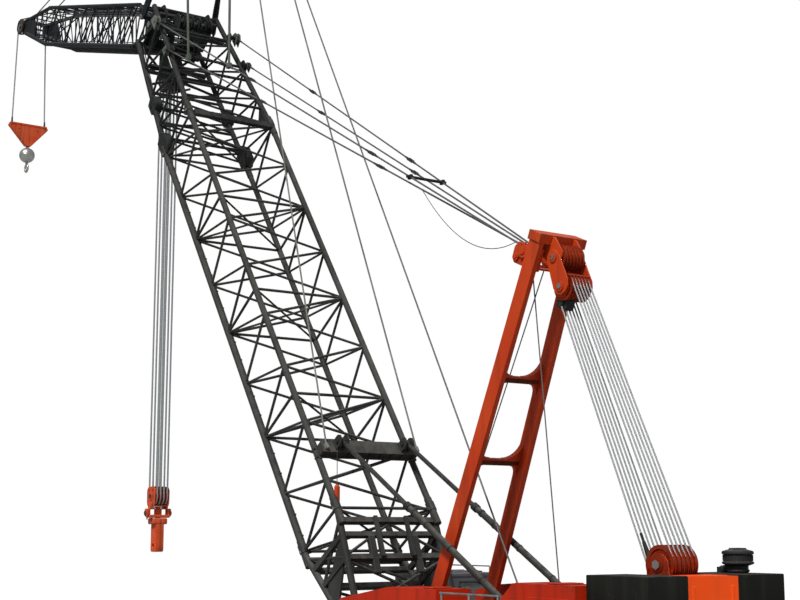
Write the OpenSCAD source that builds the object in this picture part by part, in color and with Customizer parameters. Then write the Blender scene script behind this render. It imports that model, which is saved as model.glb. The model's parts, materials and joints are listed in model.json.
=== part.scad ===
// Crawler crane: lattice boom with a fixed jib, live mast, two machine houses and long tracks.
// X points forward, Y to the left, Z up. The origin is on the ground under the slewing axis.

/* [Tracks] */
// Distance between the centres of the idler and the sprocket
wheelbase = 6200; // [5800:10:6500]
// Distance between the middle planes of the two tracks
gauge = 4500; // [4400:10:4700]
// Height of a track over its shoes
track_h = 1350; // [1300:10:1380]
// Width of a track shoe
shoe_w = 960; // [800:10:1000]
// Thickness of a track shoe
shoe_t = 55; // [45:1:65]
// Number of shoes in one track
shoe_count = 54; // [48:1:60]
// Open gap between two shoes
shoe_gap = 34; // [20:1:50]
// Thickness of the chain under the shoes
chain_t = 85; // [70:1:95]
// Width of the chain under the shoes
chain_w = 360; // [300:10:380]
// Radius of a lower roller
roller_r = 150; // [130:1:160]
// Number of lower rollers in one track
roller_count = 11; // [8:1:12]

/* [Carbody and side frames] */
// Clear width between the two plates of a side frame
frame_clear = 430; // [410:2:460]
// Thickness of a side frame plate
frame_plate = 50; // [30:1:60]
// Lower edge of the side frame plates above the ground
frame_z0 = 230; // [200:5:280]
// Upper edge of the side frame plates above the ground
frame_z1 = 960; // [900:5:1000]
// Length of the carbody box
carbody_len = 3000; // [2700:10:3300]
// Width of the carbody box
carbody_w = 2700; // [2600:10:3000]
// Top of the carbody box above the ground
carbody_z1 = 1180; // [1150:5:1190]
// Height of the carbody box
carbody_h = 620; // [500:10:680]
// Distance between the middle planes of the two cross beams
axle_pitch = 2300; // [2000:10:2500]
// Width of a cross beam along the machine
axle_w = 640; // [500:10:700]
// Height of a cross beam
axle_h = 480; // [400:10:520]
// Outer radius of the slewing ring
ring_r = 1250; // [1100:10:1300]
// Height of the slewing ring
ring_t = 150; // [140:1:180]

/* [Revolving frame] */
// Bottom of the revolving frame above the ground
bed_z0 = 1450; // [1440:5:1480]
// Depth of the revolving frame
bed_h = 350; // [300:10:380]
// Width of the revolving frame
bed_w = 2840; // [2700:10:2900]
// Front end of the revolving frame
bed_x1 = 1800; // [1750:10:1900]

/* [Boom] */
// Boom angle above the horizontal
boom_angle = 54.9; // [40:0.1:78]
// Boom foot pin ahead of the slewing axis
foot_x = 1350; // [1300:10:1450]
// Boom foot pin above the ground
foot_z = 2050; // [2030:10:2120]
// Distance between the chord centres across the boom
boom_w = 2200; // [2100:10:2300]
// Distance between the chord centres through the boom
boom_d = 1426; // [1350:2:1500]
// Length of one lacing bay
bay = 1420; // [1400:1:1440]
// Bays in the parallel part of the boom
bays = 8; // [8]
// Length of the tapered butt
butt_len = 2800; // [2700:10:2900]
// Length of the tapered top, up to the head shaft
top_len = 4200; // [4100:10:4300]
// Outer radius of a chord tube
chord_r = 66; // [55:1:75]
// Outer radius of a lacing tube
lace_r = 29; // [22:1:34]
// Radius of a boom foot pin
foot_pin_r = 80; // [60:1:90]
// Distance between the chord centres across the head
head_w = 1750; // [1700:10:1800]
// Distance between the chord centres through the head
head_d = 1150; // [1100:10:1200]

/* [Mast] */
// Mast foot pin behind the boom foot pin
mast_back = 850; // [820:10:900]
// Mast angle above the horizontal, from the front
mast_angle = 114; // [105:0.1:120]
// Length of the mast from its foot pin to the top of its head beam
mast_len = 7900; // [7850:10:7950]
// Width over the mast legs at the foot
mast_w0 = 1440; // [1420:10:1460]
// Width over the mast legs at the head
mast_w1 = 1000; // [980:10:1020]
// Width of one mast leg
leg_w = 240; // [200:5:260]
// Depth of one mast leg
leg_d = 290; // [250:5:320]
// Radius of a mast foot pin
mast_pin_r = 65; // [50:1:70]

/* [House and counterweight] */
// Outer width over the machine houses
house_w = 3240; // [3200:10:3300]
// Width of one machine house
side_w = 720; // [700:10:730]
// Roof of the rear houses above the ground
roof_z = 3590; // [3500:10:3650]
// Roof of the front houses above the ground
front_roof_z = 3430; // [3400:10:3450]
// Low front end of the front roof above the ground
nose_roof_z = 3190; // [3150:10:3250]
// Roof of the low middle deck above the ground
mid_roof_z = 2500; // [2400:10:2600]
// Front end of the machine houses ahead of the slewing axis
house_x1 = 1490; // [1450:10:1550]
// Thickness of a house wall
house_t = 40; // [20:1:60]
// Rear face of the counterweight behind the slewing axis
tail_x = 6010; // [5950:10:6100]
// Length of the counterweight
cw_len = 1250; // [1200:10:1300]
// Width over the counterweight
cw_w = 2820; // [2750:10:2900]
// Top of the counterweight above the ground
cw_z1 = 3750; // [3700:10:3800]
// Width of the left counterweight block
cw_left = 800; // [760:10:840]
// Width of the right counterweight block
cw_right = 990; // [950:10:1030]

/* [Cab] */
// Length of the cab
cab_len = 2000; // [1950:10:2050]
// Width of the cab
cab_w = 1000; // [950:10:1050]
// Height of the cab
cab_h = 1950; // [1900:10:2000]
// Thickness of a cab wall
cab_t = 45; // [35:1:60]
// Front of the cab ahead of the boom foot pin
cab_front = 2600; // [2550:10:2650]

/* [Jib] */
// Length of the jib
jib_len = 10430; // [10200:10:10600]
// Jib angle above the horizontal
jib_angle = 16.4; // [15:0.1:18]
// Distance between the jib chords across the jib
jib_w = 1000; // [940:10:1060]
// Distance between the jib chords through the jib
jib_d = 1100; // [1050:10:1150]
// Length of the jib strut
strut_len = 5680; // [5500:10:5800]
// Strut angle above the horizontal, from the front
strut_angle = 121; // [118:0.1:124]

/* [Ropes and hooks] */
// Radius of a hoist rope
rope_r = 14; // [10:1:16]
// Radius of a boom pendant
pendant_r = 20; // [16:1:24]
// Outer radius of the main sheaves
sheave_r = 240; // [235:1:245]
// Pitch of the main sheaves
sheave_pitch = 90; // [86:1:94]
// Outer radius of the boom hoist sheaves on the tail
gantry_r = 290; // [280:1:300]
// Outer radius of the boom hoist sheaves on the mast
mast_sheave_r = 230; // [225:1:235]
// Length of the main falls between the sheave centres
falls_len = 10570; // [10400:10:10700]
// Length of the jib falls down to the jib block
jib_falls_len = 3100; // [3000:10:3200]

/* [Hidden] */

seat = 0.3;        // gap between pieces that rest on each other
run = 8;           // side gap between moving pieces
pin_play = 0.08;   // radial play of a pin in its bore
fine = 48;         // facets of round pieces

// Track
wheel_r = track_h / 2 - shoe_t - chain_t;
pitch_r = track_h / 2 - shoe_t;
loop_len = 2 * wheelbase + 2 * PI * pitch_r;
shoe_pitch = loop_len / shoe_count;
axle_z = track_h / 2;

// Boom frame
straight_len = bay * bays;
boom_len = butt_len + straight_len + top_len;
deck_z = bed_z0 + bed_h;

function dir(a) = [cos(a), 0, sin(a)];
function nrm(a) = [-sin(a), 0, cos(a)];
foot = [foot_x, 0, foot_z];
function on_boom(d, y, n) = foot + d * dir(boom_angle) + [0, y, 0] + n * nrm(boom_angle);
mast_foot = [foot_x - mast_back, 0, foot_z];
function on_mast(d, y, n) = mast_foot + d * dir(mast_angle) + [0, y, 0] + n * nrm(mast_angle);
head = on_boom(boom_len, 0, 0);
mast_head = on_mast(mast_len, 0, 0);

// Shaft of the main falls, on the belly side of the head
fall_shaft = on_boom(boom_len - 800, 0, -1090);
// Jib foot pin and jib strut foot, ahead of the head
jib_foot_at = [340, -175];
strut_foot_at = [150, 120];
jib_foot = on_boom(boom_len + jib_foot_at[0], 0, jib_foot_at[1]);
function on_jib(d, y, n) = jib_foot + d * dir(jib_angle) + [0, y, 0] + n * nrm(jib_angle);
jib_tip = on_jib(jib_len, 0, 0);
strut_foot = on_boom(boom_len + strut_foot_at[0], 0, strut_foot_at[1]);
strut_top = strut_foot + strut_len * dir(strut_angle);
strut_top_y = 160;
top_tube_r = 40;

// Pendant pins on the back of the head, and the place where the pendants meet the mast
anchor_at = [[boom_len - 855, 754], [boom_len - 1951, 760]];
anchor_y = 1120;
anchor_r = 45;
yoke = on_mast(mast_len - 423, 0, -367);
pendant_y = [129, 47];

// Rope sheaves: groove depth and the rope line outside the groove
groove = 40;
rope_out = rope_r + seat - groove;
mast_pitch = 72;
mast_count = 6;
gantry_pitch = 90;
upper_shaft_at = [mast_len - 330, 330];
lower_shaft_at = [mast_len - 730, 680];
upper_shaft = on_mast(upper_shaft_at[0], 0, upper_shaft_at[1]);
lower_shaft = on_mast(lower_shaft_at[0], 0, lower_shaft_at[1]);
gantry_shaft = [foot_x - 6450, 0, foot_z + 1830];
bed_x0 = -tail_x + cw_len + seat;

// A straight bar of n sides between two points
module bar(a, b, r, n = 12) {
    v = b - a;
    len = norm(v);
    translate(a) rotate([0, acos(v[2] / len), atan2(v[1], v[0])]) cylinder(h = len, r = r, $fn = n);
}

// A block between two opposite corners
module block(a, b) {
    translate([min(a[0], b[0]), min(a[1], b[1]), min(a[2], b[2])])
        cube([abs(b[0] - a[0]), abs(b[1] - a[1]), abs(b[2] - a[2])]);
}

// A disc across the machine, centred on c
module disc(c, r, w, n = fine) {
    translate(c) rotate([90, 0, 0]) cylinder(h = w, r = r, center = true, $fn = n);
}

// A plate across the machine with its outline in the XZ plane
module plate(points, y0, y1) {
    translate([0, y1, 0]) rotate([90, 0, 0]) linear_extrude(height = y1 - y0) polygon(points);
}

// A ring across the machine
module ring(c, r, bore_r, w) {
    translate(c) rotate([90, 0, 0]) difference() {
        cylinder(h = w, r = r, center = true, $fn = fine);
        cylinder(h = w + 2, r = bore_r, center = true, $fn = fine);
    }
}

// Door hinges: a pin on a bracket, and a knuckle that turns on it
hinge_r = 12;
hinge_out = 36;
hinge_h = 90;
module pin_bracket(x, face, s, e, z) {
    block([x + e * 16, face - s * 10, z - 60], [x + e * 54, face + s * (hinge_out + 24), z - run]);
    block([x - e * 24, face + s * 8, z - 60], [x + e * 50, face + s * (hinge_out + 22), z - run - 2]);
    translate([x, face + s * hinge_out, z - 30]) cylinder(h = hinge_h + 50, r = hinge_r, $fn = fine);
}
module knuckle(x, face, s, z, reach) {
    difference() {
        union() {
            translate([x, face + s * hinge_out, z]) cylinder(h = hinge_h, r = 26, $fn = fine);
            block([x, face + s * 10, z + 4], [x + reach, face + s * 22, z + hinge_h - 4]);
            block([x + reach * 0.4, face - s * 8, z + 8], [x + reach, face + s * 20, z + hinge_h - 8]);
        }
        translate([x, face + s * hinge_out, z - 1]) cylinder(h = hinge_h + 2, r = hinge_r + pin_play, $fn = fine);
    }
}

module boom_frame() {
    translate(foot) rotate([0, -boom_angle, 0]) children();
}
module mast_frame() {
    translate(mast_foot) rotate([0, -mast_angle, 0]) children();
}
module jib_frame() {
    translate(jib_foot) rotate([0, -jib_angle, 0]) children();
}

// Undercarriage

// Stretched round outline around both end wheels
module stadium(r) {
    square([wheelbase, 2 * r], center = true);
    for (s = [-1, 1]) translate([s * wheelbase / 2, 0]) circle(r, $fn = 96);
}

// Point on the loop at length s, h outside the chain's outer line
function loop_point(s, h) =
    let (half = wheelbase + PI * pitch_r, side = s >= half ? -1 : 1, q = s >= half ? s - half : s)
    q <= wheelbase
        ? [side * (q - wheelbase / 2), side * (pitch_r + h)]
        : let (a = 90 - (q - wheelbase) / pitch_r * 180 / PI)
            [side * (wheelbase / 2 + (pitch_r + h) * cos(a)), side * (pitch_r + h) * sin(a)];

module track(side) {
    shoe_points = [
        for (i = [0 : shoe_count - 1], edge = [[0, -1], [0, shoe_t], [1, shoe_t], [1, -1]])
            loop_point(i * shoe_pitch + (edge[0] == 0 ? shoe_gap / 2 : shoe_pitch - shoe_gap / 2), edge[1])
    ];
    color([0.16, 0.15, 0.14]) translate([0, side * gauge / 2, axle_z]) rotate([90, 0, 0]) {
        linear_extrude(height = shoe_w, center = true) difference() {
            polygon(shoe_points);
            stadium(pitch_r - 14);
        }
        linear_extrude(height = chain_w, center = true) difference() {
            stadium(pitch_r - 7);
            stadium(wheel_r);
        }
    }
}

module side_frame(side) {
    inner = frame_clear / 2;
    outer = inner + frame_plate;
    end_r = 240;
    x_end = wheelbase / 2;
    color([0.13, 0.13, 0.13]) translate([0, side * gauge / 2, 0]) {
        for (s = [-1, 1]) translate([0, s * (inner + frame_plate / 2), 0]) rotate([90, 0, 0])
            linear_extrude(height = frame_plate, center = true) {
                translate([-x_end + 420, frame_z0]) square([2 * x_end - 840, frame_z1 - frame_z0]);
                for (e = [-1, 1]) {
                    translate([e * x_end, axle_z]) circle(end_r, $fn = fine);
                    translate([e * (x_end - 260) - 260, axle_z - end_r]) square([520, 2 * end_r]);
                }
            }
        block([-x_end + 720, -inner, 2 * roller_r + shoe_t + chain_t + 60], [x_end - 720, inner, frame_z1]);
        for (x = [-1500, 0, 1500]) block([x - 90, -inner - frame_plate, frame_z1], [x + 90, inner + frame_plate, frame_z1 + 60]);
    }
}

module end_wheel(side, x, w) {
    translate([x, side * gauge / 2, axle_z]) rotate([90, 0, 0]) {
        cylinder(h = w, r = wheel_r - seat, center = true, $fn = 96);
        cylinder(h = frame_clear - 2 * seat, r = 190, center = true, $fn = fine);
    }
}

module sprockets() {
    color([0.15, 0.14, 0.13]) for (side = [-1, 1]) end_wheel(side, -wheelbase / 2, 300);
}

module idlers() {
    color([0.15, 0.14, 0.13]) for (side = [-1, 1]) end_wheel(side, wheelbase / 2, 260);
}

module track_rollers() {
    span = wheelbase - 1500;
    roller_z = shoe_t + chain_t + roller_r + seat;
    carrier_r = 80;
    carrier_z = track_h - shoe_t - chain_t - carrier_r - seat;
    color([0.17, 0.16, 0.15]) for (side = [-1, 1]) translate([0, side * gauge / 2, 0]) {
        for (i = [0 : roller_count - 1])
            disc([-span / 2 + i * span / (roller_count - 1), 0, roller_z], roller_r, frame_clear - 2 * seat, 32);
        for (x = [-1500, 0, 1500]) {
            disc([x, 0, carrier_z], carrier_r, 330, 32);
            block([x - 60, -60, frame_z1 + 60 + seat], [x + 60, 60, carrier_z]);
        }
    }
}

module carbody() {
    z0 = carbody_z1 - carbody_h;
    reach = gauge / 2 - frame_clear / 2 - frame_plate;
    color([0.12, 0.12, 0.12]) {
        block([-carbody_len / 2, -carbody_w / 2, z0], [carbody_len / 2, carbody_w / 2, carbody_z1]);
        for (s = [-1, 1])
            block([s * axle_pitch / 2 - axle_w / 2, -reach, z0], [s * axle_pitch / 2 + axle_w / 2, reach, z0 + axle_h]);
    }
}

module slewing_ring() {
    color([0.2, 0.19, 0.18]) translate([0, 0, carbody_z1]) difference() {
        cylinder(h = ring_t, r = ring_r, $fn = 96);
        translate([0, 0, -1]) cylinder(h = ring_t + 2, r = ring_r - 260, $fn = 96);
    }
}

// Upperworks

boom_eye_w = 150;
mast_boss_w = leg_w + 10;
lug_t = 60;

// A pair of lugs with their pin, around an eye of the given half width
module foot_lug(x, y, half, pin_r) {
    lug_r = 2 * pin_r;
    for (s = [-1, 1]) {
        yc = y + s * (half + lug_t / 2);
        disc([x, yc, foot_z], lug_r, lug_t);
        block([x - lug_r, yc - lug_t / 2, deck_z - 10], [x + lug_r, yc + lug_t / 2, foot_z]);
    }
    disc([x, y, foot_z], pin_r, 2 * half + 2 * lug_t);
}

stop_r = 40;
stop_boss_w = 130;
module stop_post(s) {
    c = stop_deck + [0, s * stop_y, 0];
    for (e = [-1, 1]) {
        yc = c[1] + e * (stop_boss_w / 2 + run + 18);
        plate([[c[0] - 330, deck_z - 10], [c[0] + 330, deck_z - 10], [c[0] + 95, c[2] + 60], [c[0], c[2] + 100], [c[0] - 95, c[2] + 60]],
            yc - 18, yc + 18);
    }
    disc(c, stop_r, stop_boss_w + 2 * run + 72);
}

platform_t = 100;
module revolving_frame() {
    disc_r = ring_r - 10;
    color([0.72, 0.2, 0.07]) {
        translate([0, 0, carbody_z1 + ring_t + seat]) cylinder(h = bed_z0 - carbody_z1 - ring_t, r = disc_r, $fn = 96);
        block([bed_x0, -bed_w / 2, bed_z0], [bed_x1, bed_w / 2, deck_z]);
        block([bed_x0, -house_w / 2, deck_z - 60], [house_x1 + 50, house_w / 2, deck_z]);
        block([bed_x1 - 500, -bed_w / 2 + 300, cab_lo[2] - seat - platform_t], [cab_hi[0] - 200, cab_lo[1] + 40, cab_lo[2] - seat]);
        for (s = [-1, 1]) {
            foot_lug(foot_x, s * boom_w / 2, boom_eye_w / 2 + run, foot_pin_r);
            foot_lug(mast_foot[0], s * (mast_w0 - leg_w) / 2, mast_boss_w / 2 + run, mast_pin_r);
            stop_post(s);
        }
    }
}

// Side outline of one machine house: front block, low middle deck and rear block with a sloped front
module house_outline(inset, x_front) {
    z0 = deck_z + seat;
    x0 = bed_x0 + inset;
    x1 = x_front - inset;
    slope = (front_roof_z - nose_roof_z) / house_x1;
    polygon([
        [x0, z0], [x1, z0], [x1, front_roof_z - inset - slope * x1],
        [0, front_roof_z - inset], [-1400 + inset, front_roof_z - inset], [-1400 + inset, mid_roof_z - inset],
        [-3050 - inset, mid_roof_z - inset], [-3050 - inset, roof_z - 250 - inset],
        [-3350 - inset, roof_z - inset], [x0, roof_z - inset]
    ]);
}

// One house body, narrow beside the boom foot
notch_x = 800;
notch_y = boom_w / 2 + boom_eye_w / 2 + run + lug_t + 27;
module house_body(side, inset, drop) {
    y_in = house_w / 2 - side_w + inset;
    y_out = house_w / 2 - inset;
    difference() {
        translate([0, 0, -drop]) plate_span(side * y_in, side * y_out) house_outline(inset, side > 0 ? house_x1 : notch_x);
        block([notch_x - inset, side * (y_in - 100), 0], [house_x1 + 100, side * (notch_y + inset), front_roof_z + 100]);
    }
}
module plate_span(ya, yb) {
    translate([0, max(ya, yb), 0]) rotate([90, 0, 0]) linear_extrude(height = abs(yb - ya)) children();
}

// Service door in the outer wall of the left house
door_lo = [-350, house_w / 2 - house_t, deck_z + 180];
door_hi = [650, house_w / 2, nose_roof_z - 70];
door_gap = 10;
hinge_x = 20;
door_hinge_z = [door_lo[2] + 150, door_hi[2] - 300];

module house(side) {
    color([0.85, 0.25, 0.08]) {
        difference() {
            house_body(side, 0, 0);
            house_body(side, house_t, house_t);
            if (side > 0) block(door_lo - [door_gap, 200, door_gap], door_hi + [door_gap, 200, door_gap]);
        }
        if (side > 0) for (z = door_hinge_z) pin_bracket(door_lo[0] - hinge_x, house_w / 2, 1, -1, z);
    }
}

module house_door() {
    color([0.85, 0.25, 0.08]) {
        block(door_lo, door_hi);
        for (z = door_hinge_z) knuckle(door_lo[0] - hinge_x, house_w / 2, 1, z, 120);
        block([door_hi[0] - 160, door_hi[1] - 5, deck_z + 700], [door_hi[0] - 120, door_hi[1] + 40, deck_z + 900]);
    }
}

module engine() {
    y1 = house_w / 2 - house_t - 60;
    color([0.3, 0.3, 0.28]) block([-4500, y1 - 540, deck_z + seat], [-3500, y1, deck_z + 1250]);
}

module counterweight_blocks() {
    color([0.11, 0.11, 0.12]) {
        block([-tail_x, cw_w / 2 - cw_left, bed_z0], [-tail_x + cw_len, cw_w / 2, cw_z1]);
        block([-tail_x, -cw_w / 2, bed_z0], [-tail_x + cw_len, -cw_w / 2 + cw_right, cw_z1]);
    }
}

// Rear centre weight with the low seat of the boom hoist sheaves in front
gantry_seat_z = gantry_shaft[2] - gantry_r - 50;
centre_len = 560;
module counterweight_centre() {
    y0 = -cw_w / 2 + cw_right + seat;
    y1 = cw_w / 2 - cw_left - seat;
    color([0.85, 0.27, 0.08]) {
        block([-tail_x + 10, y0, bed_z0], [-tail_x + centre_len, y1, cw_z1 - 20]);
        block([-tail_x + centre_len - 5, y0, bed_z0], [-tail_x + cw_len, y1, gantry_seat_z]);
    }
}

// One grooved sheave across the machine
module sheave(c, r, w) {
    g = rope_r + 2;
    translate(c) rotate([90, 0, 0]) rotate_extrude($fn = fine) polygon([
        [0, -w / 2], [r, -w / 2], [r - groove, -g], [r - groove, g], [r, w / 2], [0, w / 2]
    ]);
}

// A row of sheaves on one shaft
module sheave_row(c, r, count, pitch, shaft_r, shaft_w) {
    for (i = [0 : count - 1]) sheave(c + [0, (i - (count - 1) / 2) * pitch, 0], r, pitch * 0.72);
    disc(c, shaft_r, shaft_w, 32);
}

module gantry_sheaves() {
    c = gantry_shaft;
    half = (mast_count - 1) / 2 * gantry_pitch + gantry_pitch * 0.36 + 10;
    color([0.8, 0.22, 0.07]) {
        sheave_row(c, gantry_r, mast_count, gantry_pitch, 55, 2 * half + 50);
        for (s = [-1, 1]) plate([
            [c[0] - 260, gantry_seat_z + seat], [c[0] + 260, gantry_seat_z + seat], [c[0] + 200, c[2] + 60],
            [c[0] + 90, c[2] + 160], [c[0] - 90, c[2] + 160], [c[0] - 200, c[2] + 60]
        ], s * (half + 12) - 12, s * (half + 12) + 12);
    }
}

module air_cleaner() {
    c = [foot_x - 6700, -1150, cw_z1 + seat];
    color([0.16, 0.16, 0.16]) {
        translate(c) cylinder(h = 130, r = 170, $fn = fine);
        translate(c + [0, 0, 120]) cylinder(h = 210, r = 240, $fn = fine);
        translate(c + [0, 0, 320]) cylinder(h = 50, r = 150, $fn = fine);
    }
}

drum_z = deck_z + 520;
module hoist_drums() {
    color([0.3, 0.28, 0.26]) for (x = [-760, -1900, -3250]) {
        disc([x, 0, drum_z], 260, 1000);
        for (s = [-1, 1]) {
            disc([x, s * 500, drum_z], 430, 40);
            block([x - 160, s * 600, deck_z + seat], [x + 160, s * 670, drum_z + 120]);
        }
        disc([x, 0, drum_z], 70, 1300, 32);
    }
}

module walkways() {
    post_r = 20;
    y = house_w / 2 - 40;
    color([0.2, 0.2, 0.2]) for (side = [-1, 1]) {
        xs = [-2950, -2225, -1500];
        for (x = xs) bar([x, side * y, mid_roof_z + seat], [x, side * y, mid_roof_z + 900], post_r, 16);
        for (z = [mid_roof_z + 440, mid_roof_z + 880])
            bar([xs[0] - 40, side * y, z], [xs[2] + 40, side * y, z], post_r - 3, 16);
    }
}

// Cab, right front

cab_y1 = -boom_w / 2 - 200;
cab_lo = [foot_x + cab_front - cab_len, cab_y1 - cab_w, deck_z - 200];
cab_hi = [foot_x + cab_front, cab_y1, deck_z - 200 + cab_h];
sill_z = cab_lo[2] + 820;
lintel_z = cab_hi[2] - 170;
cab_door_lo = [cab_lo[0] + 220, cab_lo[1], cab_lo[2] + 120];
cab_door_hi = [cab_lo[0] + 1080, cab_lo[1] + cab_t, lintel_z];
cab_hinge_z = [cab_door_lo[2] + 150, cab_door_hi[2] - 260];

module cab_shell() {
    color([0.85, 0.25, 0.08]) {
        difference() {
            block(cab_lo, cab_hi);
            block(cab_lo + [cab_t, cab_t, cab_t], cab_hi - [cab_t, cab_t, cab_t]);
            block([cab_hi[0] - cab_t - 1, cab_lo[1] + 90, sill_z - 300], [cab_hi[0] + 1, cab_hi[1] - 90, lintel_z]);
            block([cab_lo[0] - 1, cab_lo[1] + 140, sill_z], [cab_lo[0] + cab_t + 1, cab_hi[1] - 140, lintel_z]);
            block([cab_lo[0] + 180, cab_hi[1] - cab_t - 1, sill_z], [cab_hi[0] - 160, cab_hi[1] + 1, lintel_z]);
            block([cab_door_hi[0] + 120, cab_lo[1] - 1, sill_z], [cab_hi[0] - 120, cab_lo[1] + cab_t + 1, lintel_z]);
            block(cab_door_lo - [door_gap, 1, door_gap], cab_door_hi + [door_gap, 1, door_gap]);
        }
        for (z = cab_hinge_z) pin_bracket(cab_door_hi[0] + hinge_x, cab_lo[1], -1, 1, z);
    }
}

pane_t = 8;
module cab_glass() {
    g = seat;
    color([0.5, 0.6, 0.65, 0.5]) {
        block([cab_hi[0] - 26, cab_lo[1] + 90 + g, sill_z - 300 + g], [cab_hi[0] - 26 + pane_t, cab_hi[1] - 90 - g, lintel_z - g]);
        block([cab_lo[0] + 18, cab_lo[1] + 140 + g, sill_z + g], [cab_lo[0] + 18 + pane_t, cab_hi[1] - 140 - g, lintel_z - g]);
        block([cab_lo[0] + 180 + g, cab_hi[1] - 26, sill_z + g], [cab_hi[0] - 160 - g, cab_hi[1] - 26 + pane_t, lintel_z - g]);
        block([cab_door_hi[0] + 120 + g, cab_lo[1] + 18, sill_z + g], [cab_hi[0] - 120 - g, cab_lo[1] + 18 + pane_t, lintel_z - g]);
    }
}

module cab_door() {
    rim = 90;
    color([0.85, 0.25, 0.08]) {
        difference() {
            block(cab_door_lo, cab_door_hi);
            block([cab_door_lo[0] + rim, cab_door_lo[1] - 1, sill_z], [cab_door_hi[0] - rim, cab_door_hi[1] + 1, cab_door_hi[2] - rim]);
        }
        block([cab_door_lo[0] + rim - 1, cab_door_lo[1] + 18, sill_z - 1], [cab_door_hi[0] - rim + 1, cab_door_lo[1] + 18 + pane_t, cab_door_hi[2] - rim + 1]);
        for (z = cab_hinge_z) knuckle(cab_door_hi[0] + hinge_x, cab_lo[1], -1, z, -95);
    }
}

module cab_seat() {
    x = cab_lo[0] + 300;
    y = (cab_lo[1] + cab_hi[1]) / 2;
    z = cab_lo[2] + cab_t + seat;
    color([0.1, 0.1, 0.11]) {
        block([x + 60, y - 120, z], [x + 420, y + 120, z + 330]);
        block([x, y - 240, z + 320], [x + 500, y + 240, z + 440]);
        block([x - 40, y - 230, z + 430], [x + 90, y + 230, z + 1020]);
        for (s = [-1, 1]) block([x + 560, y + s * 200 - 15, z], [x + 590, y + s * 200 + 15, z + 700]);
        block([x + 555, y - 300, z + 560], [x + 640, y + 300, z + 640]);
    }
}

// Boom

// Points of a four-chord section: 0 belly left, 1 back left, 2 belly right, 3 back right
function chord_point(d, k, w, t) = [d, (k == 0 || k == 1 ? 1 : -1) * w / 2, (k == 0 || k == 2 ? -1 : 1) * t / 2];
lace_pairs = [[0, 1], [0, 2], [3, 1], [3, 2]];
chord_end = 60;   // chord past the last lacing point
beam_at = [4115, boom_d / 2 + chord_r + seat, 200];

module boom_insert() {
    d0 = butt_len;
    d1 = butt_len + straight_len;
    color([0.18, 0.17, 0.17]) boom_frame() {
        for (k = [0 : 3]) bar(chord_point(d0 - chord_end, k, boom_w, boom_d), chord_point(d1 + chord_end, k, boom_w, boom_d), chord_r, 12);
        for (i = [0 : bays - 1], p = lace_pairs) {
            a = chord_point(d0 + i * bay, p[0], boom_w, boom_d);
            b = chord_point(d0 + (i + 0.5) * bay, p[1], boom_w, boom_d);
            c = chord_point(d0 + (i + 1) * bay, p[0], boom_w, boom_d);
            bar(a, b, lace_r, 6);
            bar(b, c, lace_r, 6);
        }
    }
}

// Cross members of the butt: distance from the foot and half size
butt_cross = [[butt_len - 900, 55], [butt_len - 200, 55]];
module boom_butt() {
    eye_r = 150;
    cut = 4000;
    color([0.18, 0.17, 0.17]) boom_frame() difference() {
        union() {
            for (k = [0 : 3]) {
                p = chord_point(butt_len, k, boom_w, boom_d);
                bar([0, p[1], 0], p, chord_r, 12);
            }
            for (s = [-1, 1]) {
                translate([0, s * boom_w / 2, 0]) rotate([90, 0, 0]) cylinder(h = boom_eye_w, r = eye_r, center = true, $fn = fine);
                n = boom_d / 2 * butt_cross[0][0] / butt_len;
                block([butt_cross[0][0] - 45, s * boom_w / 2 - 45, -n], [butt_cross[0][0] + 45, s * boom_w / 2 + 45, n]);
            }
            for (t = [-1, 1], q = butt_cross) {
                n = t * boom_d / 2 * q[0] / butt_len;
                block([q[0] - q[1], -boom_w / 2, n - q[1]], [q[0] + q[1], boom_w / 2, n + q[1]]);
            }
        }
        translate([butt_len - chord_end - seat, -cut / 2, -cut / 2]) cube(cut);
        for (s = [-1, 1]) translate([0, s * boom_w / 2, 0]) rotate([90, 0, 0])
            cylinder(h = 400, r = foot_pin_r + pin_play, center = true, $fn = fine);
    }
}

// Two guide arms on the back of the butt
module rope_guides() {
    h = 70;
    n = [for (q = butt_cross) boom_d / 2 * q[0] / butt_len + q[1] + seat];
    color([0.2, 0.19, 0.19]) boom_frame() for (s = [-1, 1])
        plate_span(s * 350 - 40, s * 350 + 40) polygon([
            [butt_cross[0][0] - 40, n[0]], [butt_cross[0][0] + 60, n[0]],
            [butt_cross[1][0] - 60, n[1]], [butt_cross[1][0] + 40, n[1]],
            [butt_cross[1][0] + 40, n[1] + h], [butt_cross[0][0] - 40, n[0] + h]
        ]);
}

cheek_y = 620;
falls_cheek_y = 1.5 * sheave_pitch + 0.36 * sheave_pitch + 22;
head_tube_r = 50;
falls_tube_d = -1100;

// A plate in the boom frame, its outline measured from the end of the boom
module head_plate(points, y, t) {
    plate_span(y - t / 2, y + t / 2) polygon([for (p = points) [boom_len + p[0], p[1]]]);
}

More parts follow.
